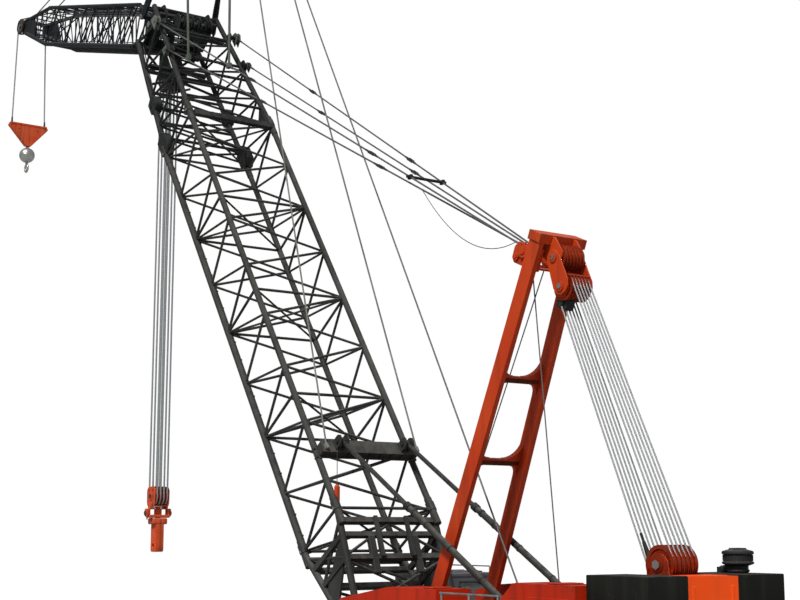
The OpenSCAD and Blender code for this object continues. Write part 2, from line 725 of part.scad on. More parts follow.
module boom_top() {
    d0 = butt_len + straight_len;
    d1 = boom_len;
    steps = 4;
    cut = 8000;
    w_at = function(d) boom_w + (head_w - boom_w) * (d - d0) / (d1 - d0);
    t_at = function(d) boom_d + (head_d - boom_d) * (d - d0) / (d1 - d0);
    step = (d1 - d0) / steps;
    color([0.18, 0.17, 0.17]) boom_frame() difference() {
        union() {
            for (k = [0 : 3]) bar(chord_point(d0 - 10, k, boom_w, boom_d), chord_point(d1 + 80, k, w_at(d1 + 80), t_at(d1 + 80)), chord_r, 12);
            for (i = [0 : steps - 1], p = lace_pairs) {
                a = d0 + i * step;
                b = a + step / 2;
                c = a + step;
                bar(chord_point(a, p[0], w_at(a), t_at(a)), chord_point(b, p[1], w_at(b), t_at(b)), lace_r, 6);
                bar(chord_point(b, p[1], w_at(b), t_at(b)), chord_point(c, p[0], w_at(c), t_at(c)), lace_r, 6);
            }
            // cross tubes: distance from the end of the boom and side of the section
            for (q = [[0, -1], [0, 1], [falls_tube_d, -1], [anchor_at[0][0] - boom_len, 1]]) {
                d = boom_len + q[0];
                bar([d, -w_at(d) / 2, q[1] * t_at(d) / 2], [d, w_at(d) / 2, q[1] * t_at(d) / 2], head_tube_r, 16);
            }
            // cheeks of the jib foot
            for (s = [-1, 1]) head_plate([[-350, -660], [120, -660], [520, -330], [520, 40], [300, 330], [90, 660], [-350, 660]], s * cheek_y, 40);
            // cheeks of the main falls
            for (s = [-1, 1]) head_plate([[-1200, -540], [90, -500], [90, -680], [-560, -1190], [-920, -1270], [-1200, -900]], s * falls_cheek_y, 30);
            // pendant pins and their brackets on the back chords
            for (s = [-1, 1], p = anchor_at) {
                y = w_at(p[0]) / 2;
                bar([p[0], s * (y - 40), p[1]], [p[0], s * (anchor_y + 45), p[1]], anchor_r, fine);
                head_plate([for (q = [[-170, -150], [170, -150], [85, 80], [-85, 80]]) [p[0] - boom_len + q[0], p[1] + q[1]]], s * y, 40);
            }
        }
        translate([d0 + chord_end + seat - cut, -cut / 2, -cut / 2]) cube(cut);
        for (q = [[jib_foot_at, jib_pin_r], [strut_foot_at, strut_pin_r], [[-800, -1090], falls_pin_r]])
            translate([boom_len + q[0][0], 0, q[0][1]]) rotate([90, 0, 0]) cylinder(h = boom_w + 800, r = q[1] + pin_play, center = true, $fn = fine);
    }
}

module boom_crossbeam() {
    d = beam_at[0];
    color([0.2, 0.19, 0.19]) boom_frame() {
        block([d - 110, -boom_w / 2 - 20, beam_at[1]], [d + 110, boom_w / 2 + 20, beam_at[1] + beam_at[2]]);
        // ears beside the backstop rods
        for (s = [-1, 1], e = [-1, 1]) {
            y = s * stop_y + e * (rod_eye_w / 2 + 35);
            plate_span(y - 15, y + 15) polygon([
                [d - 100, beam_at[1] + 50], [d + 100, beam_at[1] + 50], [d + 100, stop_beam_at[1] + 60],
                [d + 50, stop_beam_at[1] + 120], [d - 50, stop_beam_at[1] + 120], [d - 100, stop_beam_at[1] + 60]
            ]);
        }
    }
}

falls_pin_r = 60;
module head_sheaves() {
    color([0.22, 0.2, 0.19])
        sheave_row(fall_shaft, sheave_r, 4, sheave_pitch, falls_pin_r, 2 * falls_cheek_y + 60);
}

// Jib

jib_pin_r = 60;
jib_tip_w = 660;
jib_tip_d = 320;
tip_pin_r = 35;
tip_sheave_r = 230;
tip_y = 450;
module jib() {
    d0 = 1200;
    d1 = jib_len - 2600;
    n = 8;
    step = (d1 - d0) / n;
    foot_d = 160;
    color([0.11, 0.12, 0.15]) {
        jib_frame() difference() {
            union() {
                for (k = [0 : 3]) {
                    bar(chord_point(0, k, jib_w, foot_d), chord_point(d0, k, jib_w, jib_d), 40, 8);
                    bar(chord_point(d0 - 8, k, jib_w, jib_d), chord_point(d1 + 8, k, jib_w, jib_d), 40, 8);
                    bar(chord_point(d1, k, jib_w, jib_d), chord_point(jib_len, k, jib_tip_w, jib_tip_d), 40, 8);
                }
                for (i = [0 : n - 1], p = lace_pairs) {
                    a = chord_point(d0 + i * step, p[0], jib_w, jib_d);
                    b = chord_point(d0 + (i + 0.5) * step, p[1], jib_w, jib_d);
                    c = chord_point(d0 + (i + 1) * step, p[0], jib_w, jib_d);
                    bar(a, b, 18, 6);
                    bar(b, c, 18, 6);
                }
                for (t = [-1, 1])
                    bar([jib_len, -jib_tip_w / 2, t * jib_tip_d / 2], [jib_len, jib_tip_w / 2, t * jib_tip_d / 2], top_tube_r, fine);
                for (s = [-1, 1]) plate_span(s * jib_tip_w / 2 - 20, s * jib_tip_w / 2 + 20) polygon([
                    [jib_len - 300, -215], [jib_len + 60, -215], [jib_len + 130, -90],
                    [jib_len + 130, 90], [jib_len + 60, 215], [jib_len - 300, 215]
                ]);
            }
            translate([jib_len, 0, 0]) rotate([90, 0, 0]) cylinder(h = 2000, r = tip_pin_r + pin_play, center = true, $fn = fine);
        }
        disc(jib_foot, 105, 2 * cheek_y - 60);
        disc(jib_foot, jib_pin_r, 2 * cheek_y + 90);
    }
}

module jib_tip_sheaves() {
    color([0.3, 0.12, 0.08]) {
        for (s = [-1, 1]) sheave(jib_tip + [0, s * tip_y, 0], tip_sheave_r, 60);
        disc(jib_tip, tip_pin_r, 2 * tip_y + 90);
    }
}

strut_pin_r = 50;
module jib_strut() {
    top_w = 700;
    base_w = boom_w - 200;
    color([0.11, 0.12, 0.15]) {
        for (s = [-1, 1]) bar(strut_foot + [0, s * base_w / 2, 0], strut_top + [0, s * top_w / 2, 0], 60, 12);
        bar(strut_foot - [0, base_w / 2 + 40, 0], strut_foot + [0, base_w / 2 + 40, 0], strut_pin_r, fine);
        bar(strut_top - [0, top_w / 2 + 40, 0], strut_top + [0, top_w / 2 + 40, 0], top_tube_r, fine);
        for (t = [0.18, 0.4, 0.62, 0.84]) {
            w = base_w + (top_w - base_w) * t;
            c = strut_foot + t * strut_len * dir(strut_angle);
            bar(c - [0, w / 2, 0], c + [0, w / 2, 0], 40, 8);
        }
    }
}

module jib_stays() {
    r = 18;
    w = 44;
    eye_r = 80;
    grip = 55;
    tip_y1 = 200;
    foot_n = beam_at[1] + beam_at[2] + seat;
    foot_y = boom_w / 2 - 40;
    color([0.3, 0.32, 0.3]) for (s = [-1, 1]) {
        fore = strut_top + [0, s * (strut_top_y + w + 16), 0];
        tip = on_jib(jib_len, s * tip_y1, jib_tip_d / 2);
        back = strut_top + [0, s * strut_top_y, 0];
        low = on_boom(beam_at[0] - 40, s * foot_y, foot_n + 45);
        difference() {
            union() {
                disc(fore, eye_r, w);
                disc(tip, eye_r, w);
                bar(fore + grip * (tip - fore) / norm(tip - fore), tip + grip * (fore - tip) / norm(tip - fore), r, 8);
            }
            disc(fore, top_tube_r + pin_play, w + 2);
            disc(tip, top_tube_r + pin_play, w + 2);
        }
        difference() {
            union() {
                disc(back, eye_r, w);
                bar(back + grip * (low - back) / norm(low - back), low, r, 8);
            }
            disc(back, top_tube_r + pin_play, w + 2);
        }
        boom_frame() block([beam_at[0] - 100, s * foot_y - 30, foot_n], [beam_at[0] + 20, s * foot_y + 30, foot_n + 80]);
    }
}

// Mast

beam_top = [mast_len - 160, 155];
box_y = 320;
module mast_plate(points, y, t) {
    plate_span(y - t / 2, y + t / 2) polygon(points);
}

head_cheek_y = (mast_count - 1) / 2 * mast_pitch + 0.36 * mast_pitch + 10 + 15;
shaft_r = 45;
module mast() {
    y0 = (mast_w0 - leg_w) / 2;
    y1 = (mast_w1 - leg_w) / 2;
    y_at = function(d) y0 + (y1 - y0) * d / mast_len;
    boss_r = leg_d / 2 + 25;
    color([0.88, 0.28, 0.09]) mast_frame() difference() {
        union() {
            for (s = [-1, 1]) {
                // leg as a slanted box between two levels
                multmatrix([[1, 0, 0, 0], [s * (y1 - y0) / mast_len, 1, 0, s * y0], [0, 0, 1, 0], [0, 0, 0, 1]])
                    translate([0, -leg_w / 2, -leg_d / 2]) cube([mast_len - 20, leg_w, leg_d]);
                translate([0, s * y0, 0]) rotate([90, 0, 0]) cylinder(h = mast_boss_w, r = boss_r, center = true, $fn = fine);
                mast_plate([[mast_len - 320, -100], [mast_len - 20, -100], [mast_len - 20, 210], [mast_len - 190, 480],
                    [mast_len - 460, 480], [mast_len - 500, 230]], s * head_cheek_y, 30);
                mast_plate([[mast_len - 670, -100], [mast_len - 260, -100], [mast_len - 300, -560], [mast_len - 400, -640],
                    [mast_len - 600, -640], [mast_len - 670, -560]], s * box_y, 40);
            }
            for (d = [mast_len * 0.481, mast_len * 0.671]) translate([d - 90, -y_at(d), -60]) cube([180, 2 * y_at(d), 120]);
            translate([beam_top[0], -mast_w1 / 2 - 10, -beam_top[1]]) cube([mast_len - beam_top[0], mast_w1 + 20, 2 * beam_top[1]]);
        }
        for (s = [-1, 1]) translate([0, s * y0, 0]) rotate([90, 0, 0])
            cylinder(h = 2 * leg_w, r = mast_pin_r + pin_play, center = true, $fn = fine);
        translate([upper_shaft_at[0], 0, upper_shaft_at[1]]) rotate([90, 0, 0])
            cylinder(h = 2 * head_cheek_y + 100, r = shaft_r + pin_play, center = true, $fn = fine);
    }
}

module mast_sheaves() {
    link_y = head_cheek_y + 15 + run + 12;
    color([0.85, 0.25, 0.08]) {
        sheave_row(upper_shaft, mast_sheave_r, mast_count, mast_pitch, shaft_r, 2 * link_y + 60);
        sheave_row(lower_shaft, mast_sheave_r, mast_count, mast_pitch, shaft_r, 2 * link_y + 60);
        mast_frame() for (s = [-1, 1])
            mast_plate([for (q = [[-200, 250], [-240, 440], [-570, 790], [-780, 810], [-860, 690], [-810, 520], [-460, 215], [-300, 180]])
                [mast_len + q[0], q[1]]], s * link_y, 24);
    }
}

module pendants(at, yoke_y) {
    pin = on_boom(at[0], 0, at[1]);
    color([0.45, 0.45, 0.44]) for (s = [-1, 1]) {
        a = pin + [0, s * anchor_y, 0];
        b = yoke + [0, s * yoke_y, 0];
        difference() {
            union() {
                disc(a, 85, 60);
                disc(b, 60, 50);
                bar(a + 65 * (b - a) / norm(b - a), b, pendant_r, 8);
            }
            disc(a, anchor_r + pin_play, 300);
        }
    }
}

// Line in the XZ plane along the same side of two grooves; side 1 is the front
function tangent_end(a, b, ra, rb, side) =
    let (v = [b[0] - a[0], b[2] - a[2]], len = norm(v), t = atan2(v[1], v[0]), q = t - side * acos((ra - rb) / len))
    [ra * cos(q), 0, ra * sin(q)];

module hoist_ropes() {
    a = gantry_shaft;
    b = lower_shaft;
    ra = gantry_r + rope_out;
    rb = mast_sheave_r + rope_out;
    color([0.6, 0.6, 0.6]) for (side = [-1, 1], i = [0 : mast_count - 1]) {
        k = i - (mast_count - 1) / 2;
        bar(a + tangent_end(a, b, ra, rb, side) + [0, k * gantry_pitch, 0],
            b + tangent_end(a, b, ra, rb, side) * (rb / ra) + [0, k * mast_pitch, 0], rope_r, 8);
    }
}

// Backstops

rod_eye_w = 90;
stop_deck = [foot_x - 3930, 0, foot_z + 900];
stop_beam_at = [beam_at[0], beam_at[1] + beam_at[2] + 170];
stop_beam = on_boom(stop_beam_at[0], 0, stop_beam_at[1]);
stop_y = 760;
stop_dir = (stop_beam - stop_deck) / norm(stop_beam - stop_deck);
tube_r = 60;
rod_r = 44;
tube_len = 3700;
rod_len = 4200;

module backstop_tubes() {
    color([0.16, 0.16, 0.17]) for (s = [-1, 1]) {
        a = stop_deck + [0, s * stop_y, 0];
        difference() {
            union() {
                bar(a, a + tube_len * stop_dir, tube_r, fine);
                disc(a, 95, stop_boss_w);
            }
            bar(a + 150 * stop_dir, a + (tube_len + 10) * stop_dir, rod_r + pin_play, fine);
            disc(a, stop_r + pin_play, 300);
        }
    }
}

module backstop_rods() {
    color([0.3, 0.3, 0.3]) for (s = [-1, 1]) {
        b = stop_beam + [0, s * stop_y, 0];
        bar(b - rod_len * stop_dir, b, rod_r, fine);
        disc(b, 70, rod_eye_w);
    }
}

// Hooks

block_z = fall_shaft[2] - falls_len;
falls_x = sheave_r + rope_out;
module main_falls() {
    color([0.62, 0.63, 0.64]) for (i = [0 : 3], s = [-1, 1]) {
        y = (i - 1.5) * sheave_pitch;
        x = fall_shaft[0] + s * falls_x;
        bar([x, y, block_z], [x, y, fall_shaft[2]], rope_r, 8);
    }
}

trunnion_top = -300;
trunnion_h = 230;
hook_shank_r = 60;
module main_block() {
    c = [fall_shaft[0], 0, block_z];
    half = falls_cheek_y;
    low = trunnion_top - trunnion_h;
    color([0.85, 0.25, 0.08]) {
        sheave_row(c, sheave_r, 4, sheave_pitch, falls_pin_r, 2 * half + 60);
        for (s = [-1, 1]) plate([
            [c[0] - 220, c[2] + 120], [c[0] - 130, c[2] + 230], [c[0] + 130, c[2] + 230], [c[0] + 220, c[2] + 120],
            [c[0] + 200, c[2] - 180], [c[0] + 110, c[2] + trunnion_top - 20], [c[0] + 110, c[2] + low + 20],
            [c[0] - 110, c[2] + low + 20], [c[0] - 110, c[2] + trunnion_top - 20], [c[0] - 200, c[2] - 180]
        ], s * half - 14, s * half + 14);
        difference() {
            block([c[0] - 130, -330, c[2] + low], [c[0] + 130, 330, c[2] + trunnion_top]);
            translate([c[0], 0, c[2] + low - 10]) cylinder(h = trunnion_h + 20, r = hook_shank_r + pin_play, $fn = fine);
        }
    }
}

hook_eye_r = 60;
hook_eye_drop = 1215;
module main_hook() {
    c = [fall_shaft[0], 0, block_z];
    low = trunnion_top - trunnion_h;
    color([0.85, 0.25, 0.08]) difference() {
        union() {
            translate([c[0], 0, c[2] + low - 100]) cylinder(h = trunnion_h + 140, r = hook_shank_r, $fn = fine);
            translate([c[0], 0, c[2] + trunnion_top + 5]) cylinder(h = 40, r = 95, $fn = fine);
            block([c[0] - 150, -140, c[2] + low - 160], [c[0] + 150, 140, c[2] + low - 5]);
            block([c[0] - 135, -95, c[2] - hook_eye_drop - 145], [c[0] + 135, 95, c[2] + low - 150]);
        }
        disc([c[0], 0, c[2] - hook_eye_drop], hook_eye_r, 400, fine);
    }
}

jib_fall_x = jib_tip[0] + tip_sheave_r + rope_out;
jib_fall_y = 530;
jib_block_z = jib_tip[2] - jib_falls_len;
module jib_falls() {
    color([0.4, 0.45, 0.5]) for (s = [-1, 1])
        bar([jib_fall_x, s * jib_fall_y, jib_block_z + 1], [jib_fall_x, s * tip_y, jib_tip[2]], rope_r, 8);
}

jib_block_h = 720;
ball_pin_r = 28;
module jib_block() {
    x = jib_fall_x;
    z = jib_block_z;
    color([0.85, 0.3, 0.1]) difference() {
        plate_x(x - 60, x + 60) polygon([[-640, z - 110], [-590, z], [590, z], [640, z - 110], [90, z - jib_block_h], [-90, z - jib_block_h]]);
        translate([x, 0, z - jib_block_h - 10]) cylinder(h = 180, r = ball_pin_r + pin_play, $fn = fine);
    }
}
// A plate along the machine, its outline in the YZ plane
module plate_x(xa, xb) {
    translate([xa, 0, 0]) rotate([90, 0, 90]) linear_extrude(height = xb - xa) children();
}

ball_r = 240;
ball_drop = 1010;
ball_eye_r = 75;
ball_eye_drop = 1430;
module ball_hook() {
    x = jib_fall_x;
    z = jib_block_z;
    color([0.5, 0.5, 0.5]) {
        translate([x, 0, z - ball_drop + 100]) cylinder(h = ball_drop - 100 - jib_block_h + 160, r = ball_pin_r, $fn = fine);
        translate([x, 0, z - ball_drop]) sphere(r = ball_r, $fn = fine);
        translate([x, 0, z - ball_eye_drop + 110]) cylinder(h = 180, r = 42, $fn = fine);
        ring([x, 0, z - ball_eye_drop], 150, ball_eye_r, 70);
    }
}

carbody();
side_frame(1);  // side_frame_left
side_frame(-1);  // side_frame_right
track(1);  // track_left
track(-1);  // track_right
sprockets();
idlers();
track_rollers();
slewing_ring();
revolving_frame();
house(1);  // house_left
house(-1);  // house_right
engine();
counterweight_blocks();
counterweight_centre();
gantry_sheaves();
air_cleaner();
hoist_drums();
walkways();
cab_shell();
cab_glass();
cab_door();
cab_seat();
house_door();
boom_butt();
boom_insert();
boom_top();
boom_crossbeam();
rope_guides();
head_sheaves();
jib();
jib_strut();
jib_stays();
jib_tip_sheaves();
mast();
mast_sheaves();
pendants(anchor_at[0], pendant_y[0]);  // pendants_upper
pendants(anchor_at[1], pendant_y[1]);  // pendants_lower
hoist_ropes();
backstop_tubes();
backstop_rods();
main_falls();
main_block();
main_hook();
jib_falls();
jib_block();
ball_hook();
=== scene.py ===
import json
import math

import bmesh
import bpy
from mathutils import Matrix, Vector


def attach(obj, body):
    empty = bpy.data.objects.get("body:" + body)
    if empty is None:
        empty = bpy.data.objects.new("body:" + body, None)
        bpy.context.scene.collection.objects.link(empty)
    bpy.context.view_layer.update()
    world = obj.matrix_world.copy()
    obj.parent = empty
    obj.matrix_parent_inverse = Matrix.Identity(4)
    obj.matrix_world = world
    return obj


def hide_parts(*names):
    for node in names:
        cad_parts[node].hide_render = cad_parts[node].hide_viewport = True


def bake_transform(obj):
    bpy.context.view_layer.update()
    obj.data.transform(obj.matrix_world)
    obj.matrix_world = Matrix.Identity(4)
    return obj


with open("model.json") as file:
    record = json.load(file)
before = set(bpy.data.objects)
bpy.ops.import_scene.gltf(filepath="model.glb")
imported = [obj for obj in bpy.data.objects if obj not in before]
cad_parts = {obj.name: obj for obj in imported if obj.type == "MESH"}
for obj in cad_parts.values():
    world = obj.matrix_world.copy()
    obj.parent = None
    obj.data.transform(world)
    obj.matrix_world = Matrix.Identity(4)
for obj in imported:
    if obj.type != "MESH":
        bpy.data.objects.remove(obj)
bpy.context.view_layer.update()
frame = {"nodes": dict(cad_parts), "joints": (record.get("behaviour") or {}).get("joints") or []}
print("frame loaded")

# Where the machine's own lines run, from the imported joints
joints = {joint["name"]: joint for joint in frame["joints"]}
boomFoot = Vector(joints["luff"]["pos_m"])
mastFoot = Vector(joints["mast_hinge"]["pos_m"])


def axesPlace(along, out, origin):
    place = Matrix((along, Vector((0, 1, 0)), out)).transposed().to_4x4()
    place.translation = origin
    return place


def lineFrame(origin, degrees):
    # x along the line, y to the left, z out of its back
    turn = math.radians(degrees)
    return axesPlace(Vector((math.cos(turn), 0, math.sin(turn))),
                     Vector((-math.sin(turn), 0, math.cos(turn))), origin)


boom = {"angle": 54.9, "length": 18.36, "butt": 2.8, "bay": 1.42, "bays": 8, "width": 2.2, "depth": 1.426,
        "headWidth": 1.75, "headDepth": 1.15, "frameAt": 2.33}
mast = {"angle": 114, "length": 7.9, "foot": 1.44, "head": 1.0, "legWide": 0.24, "legDeep": 0.29,
        "slim": 0.05}
jib = {"angle": 16.4, "length": 10.43, "width": 1.0, "depth": 1.1, "foot": 1.2, "joint": 4.5, "taper": 7.83,
       "tipWide": 0.66, "tipDeep": 0.32, "tipY": 0.45, "tipRadius": 0.23}
strut = {"foot": (18.51, 0, 0.12), "angle": 121, "length": 5.68}
boomFrame = lineFrame(boomFoot, boom["angle"])
mastFrame = lineFrame(mastFoot, mast["angle"])
jibFrame = lineFrame(boomFrame @ Vector((boom["length"] + 0.34, 0, -0.175)), jib["angle"])
strutFrame = lineFrame(boomFrame @ Vector(strut["foot"]), strut["angle"])
world = Matrix.Identity(4)
onBoom = {"body": "boom", "place": boomFrame}
onJib = {"body": "boom", "place": jibFrame}
onMast = {"body": "mast", "place": mastFrame}
sides = (-1, 1)


# Shapes
def softened(bm, verts, soft, steps=1, least=0.0):
    edges = dict.fromkeys(edge for vert in verts for edge in vert.link_edges)
    edges = [edge for edge in edges if edge.calc_length() > least]
    return bmesh.ops.bevel(bm, geom=edges, offset=soft, segments=steps, profile=0.5, affect="EDGES",
                           material=-1, clamp_overlap=True)["verts"]


def addBlock(bm, low, high, soft=0.0, steps=1):
    low, high = Vector(low), Vector(high)
    verts = bmesh.ops.create_cube(bm, size=1.0)["verts"]
    bmesh.ops.scale(bm, vec=Vector(abs(high[k] - low[k]) for k in range(3)), verts=verts)
    bmesh.ops.translate(bm, vec=(low + high) / 2, verts=verts)
    return softened(bm, verts, soft, steps) if soft else verts


def addBox(bm, middle, halves, soft=0.0, steps=1):
    return addBlock(bm, [a - b for a, b in zip(middle, halves)], [a + b for a, b in zip(middle, halves)],
                    soft, steps)


def addRod(bm, start, end, radius, count=12, endRadius=None):
    start, end = Vector(start), Vector(end)
    along = end - start
    place = Matrix.Translation((start + end) / 2) @ along.to_track_quat("Z", "Y").to_matrix().to_4x4()
    return bmesh.ops.create_cone(bm, cap_ends=True, segments=count, radius1=radius,
                                 radius2=radius if endRadius is None else endRadius,
                                 depth=along.length, matrix=place)["verts"]


def addPin(bm, x, z, low, high, radius, count=12):
    # a rod that lies across the machine
    return addRod(bm, (x, low, z), (x, high, z), radius, count)


def addAxle(bm, x, z, half, radius, count=12):
    return addPin(bm, x, z, -half, half, radius, count)


def addBall(bm, centre, radius, count=16):
    return bmesh.ops.create_uvsphere(bm, u_segments=count, v_segments=count // 2, radius=radius,
                                     matrix=Matrix.Translation(Vector(centre)))["verts"]


def extruded(bm, verts, way):
    made = bmesh.ops.extrude_face_region(bm, geom=[bm.faces.new(verts)])["geom"]
    far = [item for item in made if isinstance(item, bmesh.types.BMVert)]
    bmesh.ops.translate(bm, vec=way, verts=far)
    return verts + far


def addPlate(bm, outline, middle, half, soft=0.0):
    # an outline in x and z, given a thickness in y
    verts = extruded(bm, [bm.verts.new((x, middle - half, z)) for x, z in outline], (0, 2 * half, 0))
    return softened(bm, verts, soft, least=3 * soft) if soft else verts


def addPipe(bm, points, radius, count=8):
    # a round bar through points, with its lay kept on each vertex for the rope finish
    lay = bm.verts.layers.float_vector.get("lay") or bm.verts.layers.float_vector.new("lay")
    points = [Vector(point) for point in points]
    last = len(points) - 1
    ways = [(points[min(i + 1, last)] - points[max(i - 1, 0)]).normalized() for i in range(last + 1)]
    turn = ways[0].to_track_quat("Z", "Y")
    circle = [(-math.sin(q), math.cos(q)) for q in [2 * math.pi * k / count for k in range(count)]]
    rings, run = [], 0.0
    for i, point in enumerate(points):
        if i:
            turn = ways[i - 1].rotation_difference(ways[i]) @ turn
            run += (point - points[i - 1]).length
        rings.append([bm.verts.new(point + turn @ Vector((radius * a, radius * b, 0))) for a, b in circle])
        for vert, (a, b) in zip(rings[-1], circle):
            vert[lay] = (a, b, run)
    for low, high in zip(rings, rings[1:]):
        for k in range(count):
            bm.faces.new((low[k - 1], low[k], high[k], high[k - 1]))
    bm.faces.new(rings[0])
    bm.faces.new(rings[-1])


def takeShape(bm):
    mesh = bpy.data.meshes.new("shape")
    bm.to_mesh(mesh)
    bm.free()
    return mesh


def stamp(bm, shape, place):
    copy = shape.copy()
    copy.transform(place)
    bm.from_mesh(copy)
    bpy.data.meshes.remove(copy)


def lathe(profile, count=48, closed=False):
    # an outline of (radius, height) turned about z
    bm = bmesh.new()
    verts = [bm.verts.new((radius, 0, height)) for radius, height in profile]
    pairs = list(zip(verts, verts[1:])) + ([(verts[-1], verts[0])] if closed else [])
    edges = [bm.edges.new(pair) for pair in pairs]
    bmesh.ops.spin(bm, geom=verts + edges, cent=(0, 0, 0), axis=(0, 0, 1), angle=2 * math.pi, steps=count,
                   use_merge=True)
    bmesh.ops.remove_doubles(bm, verts=bm.verts, dist=0.0001)
    bmesh.ops.recalc_face_normals(bm, faces=bm.faces)
    return takeShape(bm)


def mirrored(half):
    # a profile that is the same above and below
    return half + [(radius, -height) for radius, height in reversed(half)]


def spot(*place):
    return Matrix.Translation(place)


def turned(angle, axis):
    return Matrix.Rotation(angle, 4, axis)


def outward(face):
    # turns a shape that stands on z to stand on a side wall
    return turned(-face * math.pi / 2, "X")


def across(centre):
    # a shape turned about z, laid with its axis across the machine
    return Matrix.Translation(Vector(centre)) @ turned(math.pi / 2, "X")


def boltShape(radius, height):
    bm = bmesh.new()
    bmesh.ops.create_cone(bm, cap_ends=True, segments=6, radius1=radius, radius2=radius * 0.94, depth=height,
                          matrix=spot(0, 0, height / 2))
    return takeShape(bm)


def stampRing(bm, shape, centre, radius, count, face=0, phase=0.0):
    # copies round a circle, on a level face or on a side wall
    for k in range(count):
        angle = 2 * math.pi * k / count + phase
        a, b = radius * math.cos(angle), radius * math.sin(angle)
        offset = Vector((a, 0, b) if face else (a, b, 0))
        stamp(bm, shape, Matrix.Translation(Vector(centre) + offset) @ outward(face))


def stampWheel(bm, shape, centre, count, local=world, axis="Y"):
    # copies that turn with the wheel they sit on
    for k in range(count):
        stamp(bm, shape, Matrix.Translation(centre) @ turned(2 * math.pi * k / count, axis) @ local)


def finishPiece(bm, name, finish, body="upperworks", place=world, replaces=(), crease=32):
    bmesh.ops.recalc_face_normals(bm, faces=bm.faces)
    bm.transform(place)
    for face in bm.faces:
        face.smooth = True
    mesh = bpy.data.meshes.new(name)
    bm.to_mesh(mesh)
    bm.free()
    mesh.set_sharp_from_angle(angle=math.radians(crease))
    mesh.materials.append(finishes[finish])
    piece = bpy.data.objects.new(name, mesh)
    bpy.context.scene.collection.objects.link(piece)
    if body:
        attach(piece, body)
    if replaces:
        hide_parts(*replaces)
    return piece


# Finishes
def feed(tree, source, target):
    if isinstance(source, bpy.types.NodeSocket):
        tree.links.new(source, target)
    else:
        target.default_value = source


def mixColour(tree, amount, first, second, kind="MIX"):
    node = tree.nodes.new("ShaderNodeMix")
    node.data_type = "RGBA"
    node.blend_type = kind
    for slot, value in ((0, amount), (6, first), (7, second)):
        feed(tree, value, node.inputs[slot])
    return node.outputs[2]


def calc(tree, operation, first, second=0.0):
    node = tree.nodes.new("ShaderNodeMath")
    node.operation = operation
    feed(tree, first, node.inputs[0])
    feed(tree, second, node.inputs[1])
    return node.outputs[0]


def times(tree, first, second):
    return calc(tree, "MULTIPLY", first, second)


def plus(tree, first, second):
    return calc(tree, "ADD", first, second)


def spread(tree, value, low, high, toLow=0.0, toHigh=1.0):
    node = tree.nodes.new("ShaderNodeMapRange")
    feed(tree, value, node.inputs["Value"])
    for title, number in (("From Min", low), ("From Max", high), ("To Min", toLow), ("To Max", toHigh)):
        feed(tree, number, node.inputs[title])
    return node.outputs[0]


def objectPlace(tree):
    return tree.nodes.new("ShaderNodeTexCoord").outputs["Object"]


def noiseAt(tree, where, scale, detail=3.0):
    node = tree.nodes.new("ShaderNodeTexNoise")
    tree.links.new(where, node.inputs["Vector"])
    feed(tree, scale, node.inputs["Scale"])
    node.inputs["Detail"].default_value = detail
    return node.outputs[0]


def stretched(tree, where, factors):
    node = tree.nodes.new("ShaderNodeMapping")
    tree.links.new(where, node.inputs["Vector"])
    node.inputs["Scale"].default_value = factors
    return node.outputs[0]


def makeGroup(name, inputs, outputs):
    tree = bpy.data.node_groups.new(name, "ShaderNodeTree")
    for title, value in inputs.items():
        kind = "NodeSocketColor" if isinstance(value, tuple) else "NodeSocketFloat"
        tree.interface.new_socket(title, in_out="INPUT", socket_type=kind).default_value = value
    for title in outputs:
        kind = "NodeSocketColor" if title == "Colour" else "NodeSocketFloat"
        tree.interface.new_socket(title, in_out="OUTPUT", socket_type=kind)
    return tree, tree.nodes.new("NodeGroupInput").outputs, tree.nodes.new("NodeGroupOutput").inputs


paintInputs = ("Paint", "Faded", "Grime", "Bare", "Scale", "Streaks", "Dust", "Chips", "Gloss")
steelInputs = ("Steel", "Rust", "Grease", "Scale", "Rusted", "Greased", "Gloss")
dustColour = (0.42, 0.37, 0.31, 1)


def inputKinds(titles, colours):
    return {title: (0.5, 0.5, 0.5, 1) if i < colours else 0.5 for i, title in enumerate(titles)}


def weatheredPaint():
    tree, given, out = makeGroup("weatheredPaint", inputKinds(paintInputs, 4),
                                 ("Colour", "Roughness", "Height"))
    where, scale = objectPlace(tree), given["Scale"]
    up = tree.nodes.new("ShaderNodeSeparateXYZ")
    tree.links.new(tree.nodes.new("ShaderNodeNewGeometry").outputs["Normal"], up.inputs[0])
    fade = spread(tree, noiseAt(tree, where, times(tree, scale, 0.9), 4.0), 0.38, 0.66)
    runs = noiseAt(tree, stretched(tree, where, (7.0, 7.0, 0.45)), scale, 4.0)
    streaks = times(tree, spread(tree, runs, 0.5, 0.72), given["Streaks"])
    patchy = noiseAt(tree, where, times(tree, scale, 5.0), 6.0)
    dust = times(tree, spread(tree, up.outputs["Z"], 0.35, 0.95), given["Dust"])
    dust = times(tree, dust, spread(tree, patchy, 0.3, 0.62))
    fine = noiseAt(tree, where, times(tree, scale, 26.0), 8.0)
    chips = times(tree, spread(tree, fine, 0.625, 0.655), spread(tree, patchy, 0.5, 0.6))
    chips = times(tree, chips, given["Chips"])
    colour = mixColour(tree, fade, given["Paint"], given["Faded"])
    for amount, over in ((streaks, given["Grime"]), (dust, dustColour), (chips, given["Bare"])):
        colour = mixColour(tree, amount, colour, over)
    rough = plus(tree, given["Gloss"], times(tree, fade, 0.12))
    rough = plus(tree, rough, times(tree, plus(tree, streaks, dust), 0.3))
    tree.links.new(colour, out["Colour"])
    tree.links.new(calc(tree, "MINIMUM", rough, 0.95), out["Roughness"])
    tree.links.new(calc(tree, "SUBTRACT", times(tree, fine, 0.25), chips), out["Height"])
    return tree


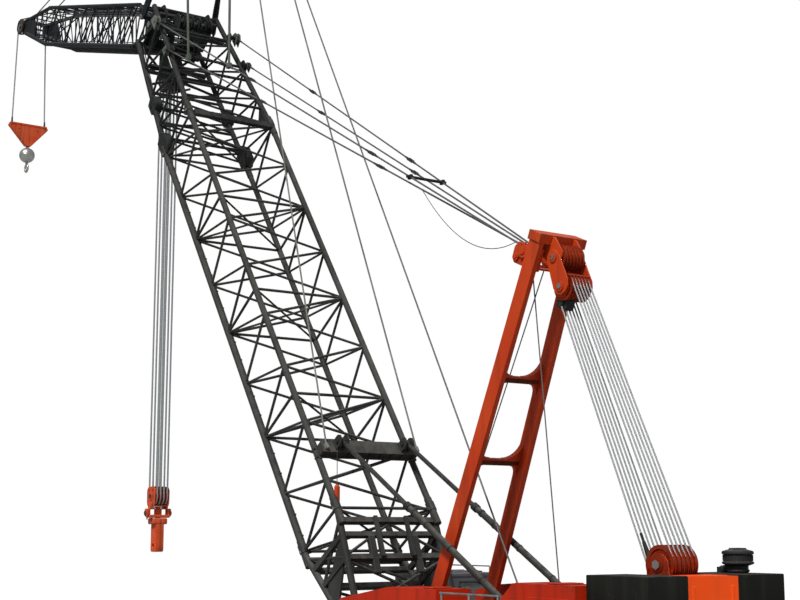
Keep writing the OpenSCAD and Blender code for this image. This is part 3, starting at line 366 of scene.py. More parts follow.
def rustedSteel():
    outputs = ("Colour", "Roughness", "Metal", "Height")
    tree, given, out = makeGroup("rustedSteel", inputKinds(steelInputs, 3), outputs)
    where, scale = objectPlace(tree), given["Scale"]
    broad = noiseAt(tree, where, times(tree, scale, 3.0), 8.0)
    fine = noiseAt(tree, where, times(tree, scale, 40.0), 6.0)
    edge = calc(tree, "SUBTRACT", 0.78, times(tree, given["Rusted"], 0.5))
    rust = spread(tree, broad, edge, plus(tree, edge, 0.16))
    grease = noiseAt(tree, stretched(tree, where, (1.0, 1.0, 2.5)), times(tree, scale, 1.7), 4.0)
    grease = times(tree, spread(tree, grease, 0.45, 0.65), given["Greased"])
    tint = mixColour(tree, spread(tree, fine, 0.3, 0.7), (0.82, 0.82, 0.82, 1), (1, 1, 1, 1))
    colour = mixColour(tree, 1.0, given["Steel"], tint, "MULTIPLY")
    colour = mixColour(tree, rust, colour, given["Rust"])
    tree.links.new(mixColour(tree, grease, colour, given["Grease"]), out["Colour"])
    rough = plus(tree, given["Gloss"], times(tree, rust, 0.45))
    rough = calc(tree, "SUBTRACT", rough, times(tree, grease, 0.12))
    tree.links.new(plus(tree, rough, times(tree, fine, 0.12)), out["Roughness"])
    tree.links.new(calc(tree, "SUBTRACT", 1.0, calc(tree, "MAXIMUM", rust, grease)), out["Metal"])
    tree.links.new(times(tree, fine, plus(tree, rust, 0.25)), out["Height"])
    return tree


def ropeLay():
    # strands wound round the rope, read from the lay kept on each vertex
    tree, given, out = makeGroup("ropeLay", {"Strands": 6.0, "Twist": 90.0}, ("Strand", "Height"))
    mark = tree.nodes.new("ShaderNodeAttribute")
    mark.attribute_name = "lay"
    parts = tree.nodes.new("ShaderNodeSeparateXYZ")
    tree.links.new(mark.outputs["Vector"], parts.inputs[0])
    turn = times(tree, calc(tree, "ARCTAN2", parts.outputs["Y"], parts.outputs["X"]), given["Strands"])
    turn = plus(tree, turn, times(tree, parts.outputs["Z"], given["Twist"]))
    wave = calc(tree, "ABSOLUTE", calc(tree, "SINE", times(tree, turn, 0.5)))
    tree.links.new(wave, out["Strand"])
    tree.links.new(calc(tree, "POWER", wave, 0.5), out["Height"])
    return tree


paintGroup, steelGroup, ropeGroup = weatheredPaint(), rustedSteel(), ropeLay()


def startMaterial(name, group=None, values=()):
    material = bpy.data.materials.new(name)
    material.use_nodes = True
    tree = material.node_tree
    node = tree.nodes.new("ShaderNodeGroup") if group else None
    if group:
        node.node_tree = group
    for title, value in values:
        node.inputs[title].default_value = value + (1,) if isinstance(value, tuple) else value
    return material, tree, node, tree.nodes["Principled BSDF"]


def addBump(tree, height, shader, distance, strength=0.5):
    bump = tree.nodes.new("ShaderNodeBump")
    bump.inputs["Strength"].default_value = strength
    bump.inputs["Distance"].default_value = distance
    tree.links.new(height, bump.inputs["Height"])
    tree.links.new(bump.outputs[0], shader.inputs["Normal"])


def setInputs(tree, shader, values):
    for title, value in values.items():
        feed(tree, value, shader.inputs[title])


def painted(name, coat, *values):
    material, tree, node, shader = startMaterial(name, paintGroup, zip(paintInputs, values))
    setInputs(tree, shader, {"Base Color": node.outputs["Colour"], "Roughness": node.outputs["Roughness"],
                             "Coat Weight": coat, "Specular IOR Level": 0.12})
    addBump(tree, node.outputs["Height"], shader, 0.002)
    return material


def steel(name, bump, *values):
    material, tree, node, shader = startMaterial(name, steelGroup, zip(steelInputs, values))
    setInputs(tree, shader, {"Base Color": node.outputs["Colour"], "Roughness": node.outputs["Roughness"],
                             "Metallic": node.outputs["Metal"]})
    addBump(tree, node.outputs["Height"], shader, bump)
    return material


def ropeFinish(name, light, dark, metal):
    material, tree, node, shader = startMaterial(name, ropeGroup)
    colour = mixColour(tree, node.outputs["Strand"], dark + (1,), light + (1,))
    setInputs(tree, shader, {"Base Color": colour, "Metallic": metal, "Roughness": 0.5})
    addBump(tree, node.outputs["Height"], shader, 0.004, 0.7)
    return material


def plainFinish(name, colour, roughness, scale=30.0, depth=0.15, metal=0.0):
    # one colour with a fine uneven grain
    material, tree, _, shader = startMaterial(name)
    grain = noiseAt(tree, objectPlace(tree), scale, 5.0)
    dark = tuple(channel * (1 - depth * 2) for channel in colour) + (1,)
    pale = tuple(min(channel * (1 + depth), 1) for channel in colour) + (1,)
    setInputs(tree, shader, {
        "Base Color": mixColour(tree, spread(tree, grain, 0.3, 0.7), dark, pale),
        "Roughness": spread(tree, grain, 0.3, 0.7, roughness - 0.06, roughness + 0.08), "Metallic": metal})
    addBump(tree, grain, shader, 0.001)
    return material


def windowGlass(name):
    material, tree, _, shader = startMaterial(name)
    smear = noiseAt(tree, stretched(tree, objectPlace(tree), (3.0, 3.0, 0.8)), 3.0, 5.0)
    setInputs(tree, shader, {"Roughness": spread(tree, smear, 0.4, 0.75, 0.02, 0.16), "IOR": 1.45,
                             "Base Color": (0.42, 0.50, 0.50, 1), "Transmission Weight": 0.9})
    return material


# Each finish: maker, slot of the record, then what the maker takes. Paint: coat, paint, faded, grime and
# bare colours, scale, streaks, dust, chips, gloss. Steel: bump, steel, rust and grease colours, scale,
# rusted, greased, gloss.
finishRows = {
    "craneOrange": (painted, "crane_orange", 0.05, (0.43, 0.036, 0.006), (0.49, 0.052, 0.010),
                    (0.10, 0.02, 0.01), (0.08, 0.025, 0.015), 0.8, 0.4, 0.15, 0.5, 0.42),
    "houseOrange": (painted, "crane_orange", 0.05, (0.38, 0.014, 0.0015), (0.45, 0.022, 0.003),
                    (0.10, 0.015, 0.006), (0.08, 0.025, 0.015), 0.7, 0.5, 0.05, 0.5, 0.42),
    "blockOrange": (painted, "crane_orange", 0.05, (0.56, 0.062, 0.014), (0.60, 0.10, 0.035),
                    (0.09, 0.03, 0.02), (0.08, 0.03, 0.02), 2.5, 0.75, 0.2, 0.8, 0.45),
    "tailOrange": (painted, "crane_orange", 0.05, (0.82, 0.070, 0.003), (0.84, 0.078, 0.005),
                   (0.2, 0.05, 0.02), (0.12, 0.05, 0.03), 0.7, 0.15, 0.06, 0.25, 0.4),
    # dark brown that paints the shade on the mast crossbars' rear and lower faces
    "shadeBrown": (painted, "crane_orange", 0.0, (0.07, 0.016, 0.008), (0.11, 0.024, 0.010),
                   (0.012, 0.01, 0.009), (0.10, 0.06, 0.04), 2.0, 0.5, 0.1, 0.4, 0.6),
    "boomPaint": (painted, "boom_grey", 0.0, (0.025, 0.026, 0.025), (0.046, 0.048, 0.046),
                  (0.03, 0.024, 0.02), (0.13, 0.07, 0.045), 1.3, 0.3, 0.22, 0.5, 0.55),
    "jibPaint": (painted, "jib_black", 0.0, (0.008, 0.011, 0.014), (0.017, 0.021, 0.025),
                 (0.018, 0.018, 0.02), (0.12, 0.07, 0.05), 1.5, 0.3, 0.15, 0.4, 0.5),
    "headBlack": (painted, "jib_black", 0.0, (0.014, 0.015, 0.0155), (0.027, 0.029, 0.030),
                  (0.012, 0.01, 0.009), (0.10, 0.06, 0.04), 2.0, 0.3, 0.12, 0.3, 0.55),
    "tailCharcoal": (painted, "counterweight_black", 0.0, (0.005, 0.0055, 0.0042), (0.009, 0.0095, 0.0075),
                     (0.03, 0.028, 0.024), (0.06, 0.045, 0.035), 0.8, 0.25, 0.1, 0.3, 0.7),
    "chassisPaint": (painted, "chassis_black", 0.0, (0.022, 0.021, 0.020), (0.04, 0.037, 0.034),
                     (0.14, 0.11, 0.08), (0.12, 0.06, 0.04), 0.9, 0.6, 0.75, 0.6, 0.6),
    "cabGrey": (painted, "boom_grey", 0.1, (0.075, 0.078, 0.092), (0.11, 0.105, 0.115),
                (0.04, 0.03, 0.03), (0.1, 0.05, 0.035), 1.2, 0.4, 0.35, 0.4, 0.4),
    "pendantGrey": (painted, "boom_grey", 0.0, (0.13, 0.13, 0.12), (0.20, 0.20, 0.19),
                    (0.05, 0.04, 0.03), (0.12, 0.06, 0.04), 2.0, 0.3, 0.3, 0.5, 0.5),
    "blockGrey": (painted, "boom_grey", 0.0, (0.07, 0.085, 0.07), (0.12, 0.14, 0.115),
                  (0.03, 0.03, 0.025), (0.1, 0.06, 0.04), 2.0, 0.3, 0.2, 0.4, 0.5),
    "trackSteel": (steel, "track_steel", 0.004, (0.16, 0.145, 0.13), (0.11, 0.065, 0.04), (0.17, 0.13, 0.09),
                   1.2, 0.75, 0.8, 0.45),
    "wheelSteel": (steel, "track_steel", 0.002, (0.10, 0.095, 0.09), (0.10, 0.05, 0.03), (0.03, 0.025, 0.02),
                   2.0, 0.6, 0.6, 0.45),
    "machinedSteel": (steel, "machined_steel", 0.002, (0.42, 0.42, 0.41), (0.18, 0.09, 0.05),
                      (0.05, 0.04, 0.03),
                      3.0, 0.25, 0.5, 0.3),
    "ballSteel": (steel, "machined_steel", 0.002, (0.52, 0.52, 0.50), (0.26, 0.22, 0.18), (0.14, 0.13, 0.11),
                  3.0, 0.35, 0.35, 0.32),
    "wornOrange": (steel, "sheave_orange", 0.002, (0.46, 0.05, 0.012), (0.20, 0.03, 0.012),
                   (0.05, 0.02, 0.014),
                   4.0, 0.45, 0.5, 0.55),
    "ropeBright": (ropeFinish, "wire_rope", (0.32, 0.335, 0.345), (0.12, 0.125, 0.13), 0.3),
    "ropeDark": (ropeFinish, "wire_rope", (0.12, 0.125, 0.125), (0.04, 0.04, 0.038), 0.2),
    "darkSteel": (plainFinish, "machined_steel", (0.06, 0.06, 0.058), 0.35, 12.0, 0.15, 0.6),
    "galvanised": (plainFinish, "machined_steel", (0.26, 0.27, 0.27), 0.5, 9.0, 0.15, 0.7),
    "rubber": (plainFinish, "chassis_black", (0.018, 0.018, 0.018), 0.7),
    "blackGrille": (plainFinish, "engine_grey", (0.012, 0.012, 0.012), 0.55),
    "seatCloth": (plainFinish, "seat_black", (0.03, 0.032, 0.036), 0.85, 220.0, 0.3),
    "paleLamp": (plainFinish, "glass", (0.75, 0.75, 0.72), 0.25),
    "windowGlass": (windowGlass, "glass"),
}
finishes = {name: row[0](name, *row[2:]) for name, row in finishRows.items()}
print("finishes made")

# CAD pieces that show as they are, or stand under a piece of the scene
nodeFinish = {
    "chassisPaint": "carbody side_frame_left side_frame_right",
    "wheelSteel": "slewing_ring engine head_sheaves jib_tip_sheaves hoist_drums track_rollers",
    "houseOrange": "revolving_frame house_left house_right house_door",
    "galvanised": "walkways", "tailCharcoal": "counterweight_blocks", "tailOrange": "counterweight_centre",
    "headBlack": "air_cleaner boom_top", "cabGrey": "cab_shell cab_door", "windowGlass": "cab_glass",
    "seatCloth": "cab_seat", "boomPaint": "boom_butt boom_insert boom_crossbeam rope_guides backstop_tubes",
    "jibPaint": "jib jib_strut", "pendantGrey": "jib_stays pendants_upper pendants_lower",
    "craneOrange": "mast mast_sheaves gantry_sheaves", "ropeBright": "hoist_ropes main_falls",
    "darkSteel": "backstop_rods", "blockOrange": "main_block main_hook jib_block", "ropeDark": "jib_falls",
    "ballSteel": "ball_hook", "trackSteel": "track_left track_right sprockets idlers",
}
for finish, names in nodeFinish.items():
    for name in names.split():
        mesh = frame["nodes"][name].data
        mesh.materials.clear()
        mesh.materials.append(finishes[finish])

# Camera and light
view = {"place": (-20.586, 15.774, 4.373), "right": (-0.574, -0.819, 0.0), "ahead": (0.809, -0.567, 0.158),
        "lens": 64.94, "sensor": 36.0, "near": 0.5, "far": 400}
studio = {"sun": 3.7, "fill": 0.12, "sunAngle": 10, "sunFrom": (-0.34, 0.54, 0.77),
          "fillFrom": (-0.95, -0.1, 0.3),
          "sky": 0.32, "floor": (0.40, 0.40, 0.39, 1), "glow": 1.2, "glowShare": 0.78, "floorSize": 260,
          "floorAt": (4, 0, -0.002)}
white = (1, 1, 1, 1)


def addToScene(name, data):
    item = bpy.data.objects.new(name, data)
    bpy.context.scene.collection.objects.link(item)
    return item


def placeCamera():
    data = bpy.data.cameras.new("camera")
    data.lens, data.sensor_width = view["lens"], view["sensor"]
    data.clip_start, data.clip_end = view["near"], view["far"]
    camera = addToScene("camera", data)
    ahead = Vector(view["ahead"]).normalized()
    right = Vector(view["right"])
    right = (right - ahead * right.dot(ahead)).normalized()
    turn = Matrix((right, right.cross(ahead), -ahead)).transposed().to_4x4()
    camera.matrix_world = Matrix.Translation(view["place"]) @ turn
    bpy.context.scene.camera = camera


def seenDirectly(tree, low, high):
    # one value for the camera, another for the light that falls on the crane
    rays = tree.nodes.new("ShaderNodeLightPath").outputs
    seen = calc(tree, "MAXIMUM", rays["Is Camera Ray"], rays["Is Transmission Ray"])
    return spread(tree, seen, 0, 1, low, high)


def lightStudio():
    for name in ("sun", "fill"):
        data = bpy.data.lights.new(name, "SUN")
        data.energy = studio[name]
        data.angle = math.radians(studio["sunAngle"])
        lamp = addToScene(name, data)
        lamp.rotation_euler = Vector(studio[name + "From"]).to_track_quat("Z", "Y").to_euler()
    sky = bpy.data.worlds.new("sky")
    bpy.context.scene.world = sky
    sky.use_nodes = True
    shade = sky.node_tree.nodes["Background"].inputs
    sky.node_tree.links.new(seenDirectly(sky.node_tree, studio["sky"], 1.0), shade["Strength"])
    shade["Color"].default_value = white


def layFloor():
    bm = bmesh.new()
    bmesh.ops.create_grid(bm, x_segments=1, y_segments=1, size=studio["floorSize"] / 2,
                          matrix=spot(*studio["floorAt"]))
    floor = addToScene("floor", takeShape(bm))
    material, tree, _, shader = startMaterial("floorPale")
    tree.nodes.remove(shader)
    matte = tree.nodes.new("ShaderNodeBsdfDiffuse")
    matte.inputs["Color"].default_value = studio["floor"]
    glow = tree.nodes.new("ShaderNodeEmission")
    glow.inputs["Color"].default_value = white
    glow.inputs["Strength"].default_value = studio["glow"]
    blend = tree.nodes.new("ShaderNodeMixShader")
    tree.links.new(seenDirectly(tree, 0.0, studio["glowShare"]), blend.inputs[0])
    tree.links.new(matte.outputs[0], blend.inputs[1])
    tree.links.new(glow.outputs[0], blend.inputs[2])
    tree.links.new(blend.outputs[0], tree.nodes["Material Output"].inputs["Surface"])
    floor.data.materials.append(material)


placeCamera()
lightStudio()
layFloor()
bpy.context.scene.view_settings.view_transform = "Standard"
print("camera, light and floor set")


def blockShape(low, high, soft=0.0):
    bm = bmesh.new()
    addBlock(bm, low, high, soft)
    return takeShape(bm)


def addPanel(bm, face, out, across, up, thick, soft=0.0):
    # a thin block that stands out of a side wall and starts just inside it
    addBlock(bm, (across[0], face - out * 0.004, up[0]), (across[1], face + out * thick, up[1]), soft)


def sheaveShape(radius, width, depth, bore, grooveRadius=0.016):
    # rim with a round groove, a thin web and a hub
    half = width / 2
    web, root = half * 0.3, radius - depth
    hub = [(bore, -half * 1.08), (bore + 0.035, -half * 1.08), (bore + 0.045, -web), (root - 0.035, -web)]
    rim = [(root - 0.02, -half * 0.86), (radius, -half * 0.86), (radius, -half * 0.62)]
    turns = [math.radians(q) for q in (-70, -35, 0, 35, 70)]
    groove = [(root + grooveRadius * (1 - math.cos(a)), grooveRadius * math.sin(a)) for a in turns]
    far = [(r, -z) for r, z in reversed(hub + rim)]
    return lathe(hub + rim + groove + far, closed=True)


# Undercarriage
loop = {"wheelbase": 6.2, "gauge": 4.5, "height": 1.35, "wide": 0.96, "shoe": 0.055, "count": 54,
        "chain": 0.085,
        "rollers": 11, "rollerSpan": 4.7, "frameHalf": 0.265}
shoe = {"plate": 0.03, "gap": 0.012, "bar": 0.024, "linkY": 0.13, "linkWide": 0.05, "pin": 0.024}
pitchRadius = loop["height"] / 2 - loop["shoe"]
shoePitch = (2 * loop["wheelbase"] + 2 * math.pi * pitchRadius) / loop["count"]
axleX, axleHeight = loop["wheelbase"] / 2, loop["height"] / 2
rollerSpots = [loop["rollerSpan"] * (i / (loop["rollers"] - 1) - 0.5) for i in range(loop["rollers"])]


def loopPoint(run):
    half = loop["wheelbase"] + math.pi * pitchRadius
    run %= 2 * half
    side, run = (1, run) if run < half else (-1, run - half)
    if run <= loop["wheelbase"]:
        return Vector((side * (run - axleX), 0, side * pitchRadius))
    turn = math.pi / 2 - (run - loop["wheelbase"]) / pitchRadius
    return Vector((side * (axleX + pitchRadius * math.cos(turn)), 0, side * pitchRadius * math.sin(turn)))


def loopPlace(run, side):
    behind, ahead = loopPoint(run - shoePitch / 2), loopPoint(run + shoePitch / 2)
    along = (ahead - behind).normalized()
    middle = (ahead + behind) / 2 + Vector((0, side * loop["gauge"] / 2, axleHeight))
    return axesPlace(along, along.cross(Vector((0, 1, 0))), middle)


def buildTracks():
    bm = bmesh.new()
    half, wide, chain, plate = shoePitch / 2, loop["wide"] / 2, loop["chain"], shoe["plate"]
    addBlock(bm, (shoe["gap"] - half, -wide, 0.0), (half - shoe["gap"], wide, plate), soft=0.008)
    for x in (0.05 - half, 0.0, half - 0.05):
        addBlock(bm, (x - shoe["bar"] / 2, 0.015 - wide, plate - 0.004),
                 (x + shoe["bar"] / 2, wide - 0.015, loop["shoe"]))
    for s in sides:
        y, wideLink = s * shoe["linkY"], shoe["linkWide"] / 2
        addBlock(bm, (-half - 0.03, y - wideLink, -chain), (half * 0.55, y + wideLink, -0.006), soft=0.01)
        addBlock(bm, (-half * 0.5, y - s * 0.03 - 0.02, 0.012 - chain),
                 (half + 0.03, y - s * 0.03 + 0.02, -0.004))
        for x in (-0.045, 0.045):
            addRod(bm, (x, y, plate - 0.002), (x, y, plate + 0.016), 0.015, 6)
    addAxle(bm, -half, -chain / 2, 0.2, shoe["pin"], 8)
    shape = takeShape(bm)
    for side, name in ((1, "left"), (-1, "right")):
        bm = bmesh.new()
        for i in range(loop["count"]):
            stamp(bm, shape, loopPlace((i + 0.5) * shoePitch, side))
        finishPiece(bm, "trackShoes_" + name, "trackSteel", "undercarriage", replaces=("track_" + name,))


def buildTrackWheels():
    rim = pitchRadius - loop["chain"] - 0.001
    # drive wheel: a toothed rim on a dished web
    disc = lathe(mirrored([(0.0, -0.15), (0.16, -0.15), (0.18, -0.09), (rim - 0.12, -0.05),
                           (rim - 0.07, -0.13),
                           (rim - 0.03, -0.13)]), 64)
    idler = lathe(mirrored([(0.0, -0.13), (0.14, -0.13), (0.17, -0.07), (rim - 0.15, -0.045),
                            (rim - 0.08, -0.13),
                            (rim - 0.02, -0.13), (rim - 0.02, -0.09), (rim, -0.085)]), 64)
    bolt = boltShape(0.02, 0.02)
    tooth = blockShape((-0.028, -0.05, rim - 0.05), (0.028, 0.05, rim + 0.035), soft=0.016)
    drive, front = bmesh.new(), bmesh.new()
    for side in sides:
        centre = Vector((-axleX, side * loop["gauge"] / 2, axleHeight))
        stamp(drive, disc, across(centre))
        stampWheel(drive, tooth, centre, 24)
        for s in sides:
            stampWheel(drive, bolt, centre, 12, spot(0, s * 0.13, 0.24) @ outward(s))
        stamp(front, idler, across((axleX, centre.y, axleHeight)))
    finishPiece(drive, "driveWheels", "trackSteel", "undercarriage", replaces=("sprockets",))
    finishPiece(front, "idlerWheels", "trackSteel", "undercarriage", replaces=("idlers",))
    # rollers between the side plates, with a flange at each end of the tread
    roller = lathe(mirrored([(0.0, -0.214), (0.06, -0.214), (0.062, -0.19), (0.11, -0.188), (0.165, -0.185),
                             (0.165, -0.165), (0.15, -0.16), (0.15, -0.05), (0.10, -0.045)]), 32)
    carrier = lathe(mirrored([(0.0, -0.165), (0.07, -0.165), (0.08, -0.155)]), 24)
    bm = bmesh.new()
    for side in sides:
        y = side * loop["gauge"] / 2
        for x in rollerSpots:
            stamp(bm, roller, across((x, y, loop["shoe"] + loop["chain"] + 0.1503)))
        for x in (-1.5, 0, 1.5):
            stamp(bm, carrier, across((x, y, loop["height"] - loop["shoe"] - loop["chain"] - 0.0803)))
            for s in sides:
                addPlate(bm, [(x - 0.06, 1.0), (x + 0.06, 1.0), (x + 0.05, 1.13), (x, 1.16),
                              (x - 0.05, 1.13)],
                         y + s * 0.19, 0.015)
            addBlock(bm, (x - 0.06, y - 0.2, 1.0), (x + 0.06, y + 0.2, 1.03))
            addPin(bm, x, 1.1297, y - 0.2, y + 0.2, 0.03)
    finishPiece(bm, "rollers", "wheelSteel", "undercarriage", replaces=("track_rollers",))


def buildFrameFittings():
    # drive housings, idler caps, stiffeners, guards and bolts on the side frames
    bm = bmesh.new()
    drive = lathe([(0.0, 0.0), (0.34, 0.0), (0.34, 0.05), (0.30, 0.06), (0.30, 0.13), (0.22, 0.18),
                   (0.10, 0.19),
                   (0.0, 0.19)])
    cap = lathe([(0.0, 0.0), (0.17, 0.0), (0.17, 0.03), (0.12, 0.05), (0.0, 0.05)], 32)
    small = lathe([(0.0, 0.0), (0.055, 0.0), (0.05, 0.03), (0.0, 0.03)], 16)
    bolt = boltShape(0.018, 0.018)
    for side in sides:
        mid = side * loop["gauge"] / 2
        for face in sides:
            outer = mid + face * loop["frameHalf"]
            inside = outer - 0.004
            rear = drive if face == side else cap
            for x, shape in ((-axleX, rear), (axleX, cap)):
                stamp(bm, shape, spot(x, outer, axleHeight) @ outward(face))
            if face == side:
                stampRing(bm, bolt, (-axleX, outer + face * 0.05, axleHeight), 0.32, 16, face)
            stampRing(bm, bolt, (axleX, outer + face * 0.03, axleHeight), 0.14, 8, face)
            for x in rollerSpots:
                stamp(bm, small, spot(x, outer, 0.29) @ outward(face))
            # take-up slot cover by the idler, then long ribs and short ones
            addBlock(bm, (2.2, inside, axleHeight - 0.09), (2.75, outer + face * 0.02, axleHeight + 0.09),
                     soft=0.006)
            for z in (0.40, 0.86):
                addBlock(bm, (-2.55, inside, z), (2.15, outer + face * 0.028, z + 0.04), soft=0.004)
            for i in range(7):
                x = -2.3 + i * 0.72
                addBlock(bm, (x - 0.012, inside, 0.44), (x + 0.012, outer + face * 0.022, 0.86))
        # steps at the ends of each frame
        y = mid + side * loop["frameHalf"]
        for x in (-2.05, 2.0):
            addBlock(bm, (x, y, 0.62), (x + 0.36, y + side * 0.16, 0.64), soft=0.004)
            for q in (x + 0.03, x + 0.33):
                addBlock(bm, (q - 0.006, y, 0.44), (q + 0.006, y + side * 0.15, 0.64))
    finishPiece(bm, "frameFittings", "chassisPaint", "undercarriage")


def buildCarbodyFittings():
    bm = bmesh.new()
    stampRing(bm, boltShape(0.028, 0.03), (0, 0, 1.33), 1.19, 44)
    for s in sides:
        for x in (-1.15, 1.15):
            # lugs that lock each axle to its side frame
            for y in (1.55, 1.8):
                addBox(bm, (x, s * y, 1.075), (0.26, 0.03, 0.045), soft=0.008)
            addRod(bm, (x - 0.33, s * 1.68, 0.78), (x + 0.33, s * 1.68, 0.78), 0.05, 16)
        addBlock(bm, (s * 1.5, -0.9, 0.66), (s * 1.53, 0.9, 1.08), soft=0.01)
        for y in (-0.7, 0.7):
            addRod(bm, (s * 1.5, y, 0.87), (s * 1.58, y, 0.87), 0.09, 20)
    finishPiece(bm, "carbodyFittings", "chassisPaint", "undercarriage")


buildTracks()
buildTrackWheels()
buildFrameFittings()
buildCarbodyFittings()
print("undercarriage done")

# Machine deck and houses
house = {"wide": 3.24, "side": 0.72, "reach": {1: 1.49, -1: 0.8},
         "seams": (-4.72, -3.62, -2.98, -2.2, -1.44, -0.62, 0.72),
         "roofs": ((3.588, (-4.4, -3.9, -3.4)), (3.428, (-1.32, -0.75, -0.1))),
         "doors": ((-4.62, -3.72, 2.0, 3.4), (-2.92, -2.28, 1.95, 2.38), (-2.14, -1.52, 1.95, 2.38))}


def louvre(bm, face, x0, x1, z0, z1, out, rows):
    # a framed panel of sloping slats on a side wall
    edge, thick = 0.025, 0.022
    for x in (x0, x1 - edge):
        addPanel(bm, face, out, (x, x + edge), (z0, z1), thick)
    for z in (z0, z1 - edge):
        addPanel(bm, face, out, (x0, x1), (z, z + edge), thick)
    step = (z1 - z0 - 2 * edge) / rows
    slat = blockShape((x0 + edge, -0.003, -step * 0.42), (x1 - edge, 0.003, step * 0.42))
    for i in range(rows):
        middle = z0 + edge + (i + 0.5) * step
        stamp(bm, slat, spot(0, face + out * 0.012, middle) @ turned(out * math.radians(32), "X"))


def seamTop(x):
    if x < -3.4:
        return 3.5
    if x < -3.0:
        return 3.26
    return 2.44 if x < -1.42 else 3.06


def buildHouseFittings():
    panels, grilles, hardware = bmesh.new(), bmesh.new(), bmesh.new()
    bolt = boltShape(0.012, 0.01)
    for side, reach in house["reach"].items():
        face = side * house["wide"] / 2
        inner = face - side * house["side"]
        # cover strips at panel joints, with bolt heads
        for x in [x for x in house["seams"] if x <= reach - 0.1]:
            high = seamTop(x)
            addPanel(panels, face, side, (x - 0.022, x + 0.022), (1.86, high), 0.008, soft=0.003)
            for k in range(int((high - 1.9) / 0.22)):
                stamp(hardware, bolt, spot(x, face + side * 0.007, 1.94 + k * 0.22) @ outward(side))
        # service doors of the rear and middle bays, with a catch and two hinges
        for x0, x1, z0, z1 in house["doors"]:
            mid = (z0 + z1) / 2
            addPanel(panels, face, side, (x0, x1), (z0, z1), 0.014, soft=0.008)
            addPin(hardware, x1 - 0.1, mid, face + side * 0.014, face + side * 0.05, 0.018)
            addBlock(hardware, (x1 - 0.16, face + side * 0.04, mid - 0.012),
                     (x1 - 0.04, face + side * 0.055, mid + 0.012),
                     soft=0.004)
            for z in (z0 + 0.12, z1 - 0.12):
                hinge = (x0 - 0.008, face + side * 0.02)
                addRod(hardware, hinge + (z - 0.05,), hinge + (z + 0.05,), 0.016, 10)
        louvre(grilles, face + side * 0.012, -4.5, -3.86, 2.75, 3.3, side, 12)
        louvre(grilles, face + side * 0.012, -4.5, -3.86, 2.1, 2.6, side, 11)
        louvre(grilles, face, -1.3, -0.75, 2.3, 3.0, side, 14)
        if side < 0:
            louvre(grilles, face, -0.5, 0.6, 2.2, 3.0, side, 16)
            louvre(grilles, inner, -4.5, -3.6, 2.1, 3.2, 1, 18)
        # roof seams and hatches
        ya, yb = sorted((inner, face))
        for z, seams in house["roofs"]:
            for x in seams:
                addBlock(panels, (x - 0.015, ya + 0.02, z), (x + 0.015, yb - 0.02, z + 0.01), soft=0.003)
        addBlock(panels, (-4.3, ya + 0.12, 3.588), (-4.0, yb - 0.12, 3.612), soft=0.01)
        addBlock(panels, (-1.1, ya + 0.14, 3.428), (-0.85, yb - 0.14, 3.455), soft=0.01)
        # kick strip and grab rail beside the middle deck
        addBlock(hardware, (-3.04, face - side * 0.03, 2.5), (-1.42, face - side * 0.022, 2.6))
        out = face + side * 0.07
        addPipe(hardware, [(-1.38, y, z) for y, z in ((face, 2.1), (out, 2.12), (out, 3.2), (face, 3.22))],
                0.014)
    finishPiece(panels, "housePanels", "houseOrange")
    finishPiece(grilles, "houseGrilles", "blackGrille")
    finishPiece(hardware, "houseHardware", "galvanised")
    # door skin with its own louvre and handle
    bm = bmesh.new()
    addBlock(bm, (-0.3, 1.618, 2.05), (0.6, 1.632, 3.05), soft=0.01)
    finishPiece(bm, "doorSkin", "houseOrange", "house_door")
    bm = bmesh.new()
    louvre(bm, 1.63, -0.15, 0.42, 2.55, 2.95, 1, 9)
    addPipe(bm, [(0.5, 1.63, 2.5), (0.5, 1.68, 2.51), (0.5, 1.68, 2.69), (0.5, 1.63, 2.7)], 0.011)
    finishPiece(bm, "doorGrille", "blackGrille", "house_door")


def buildDeckFittings():
    # chequer plate ribs, then pipe runs with their clamps beside the drums
    bm = bmesh.new()
    for k in range(16):
        x = -4.5 + k * 0.38
        addBlock(bm, (x, -0.86, 1.798), (x + 0.03, 0.86, 1.806))
    for s in sides:
        for y, radius in ((0.80, 0.022), (0.85, 0.016), (0.74, 0.03)):
            near = y - 0.05
            addPipe(bm, [(x, s * q, 1.86) for x, q in ((-4.4, y), (-1.2, y), (-1.05, near), (0.2, near))],
                    radius)
        for x in (-4.0, -3.0, -2.0, -1.3, -0.4):
            addBlock(bm, (x, s * 0.68, 1.8), (x + 0.04, s * 0.89, 1.9), soft=0.006)
    for x in (1.55, -4.3):
        addBlock(bm, (x - 0.1, -0.5, 1.8), (x + 0.1, 0.5, 1.95), soft=0.01)
    finishPiece(bm, "deckPipes", "wheelSteel")
    # access steps at the deck edge
    bm = bmesh.new()
    for side in sides:
        y = side * house["wide"] / 2
        for x in (-4.2, 0.9):
            for q in (x, x + 0.42):
                addPipe(bm, [(q, y + side * out, z) for out,
                             z in ((-0.02, 1.74), (0.06, 1.72), (0.06, 1.44), (0.02, 1.40))],
                        0.014)
            for z in (1.45, 1.62):
                addBlock(bm, (x, y + side * 0.01, z), (x + 0.42, y + side * 0.11, z + 0.02), soft=0.004)
    finishPiece(bm, "deckSteps", "galvanised")


tail = {"rear": -6.01, "front": -4.76, "stacks": ((0.61, 1.41), (-1.41, -0.42)), "low": 1.45, "high": 3.75,
        "layers": 5}


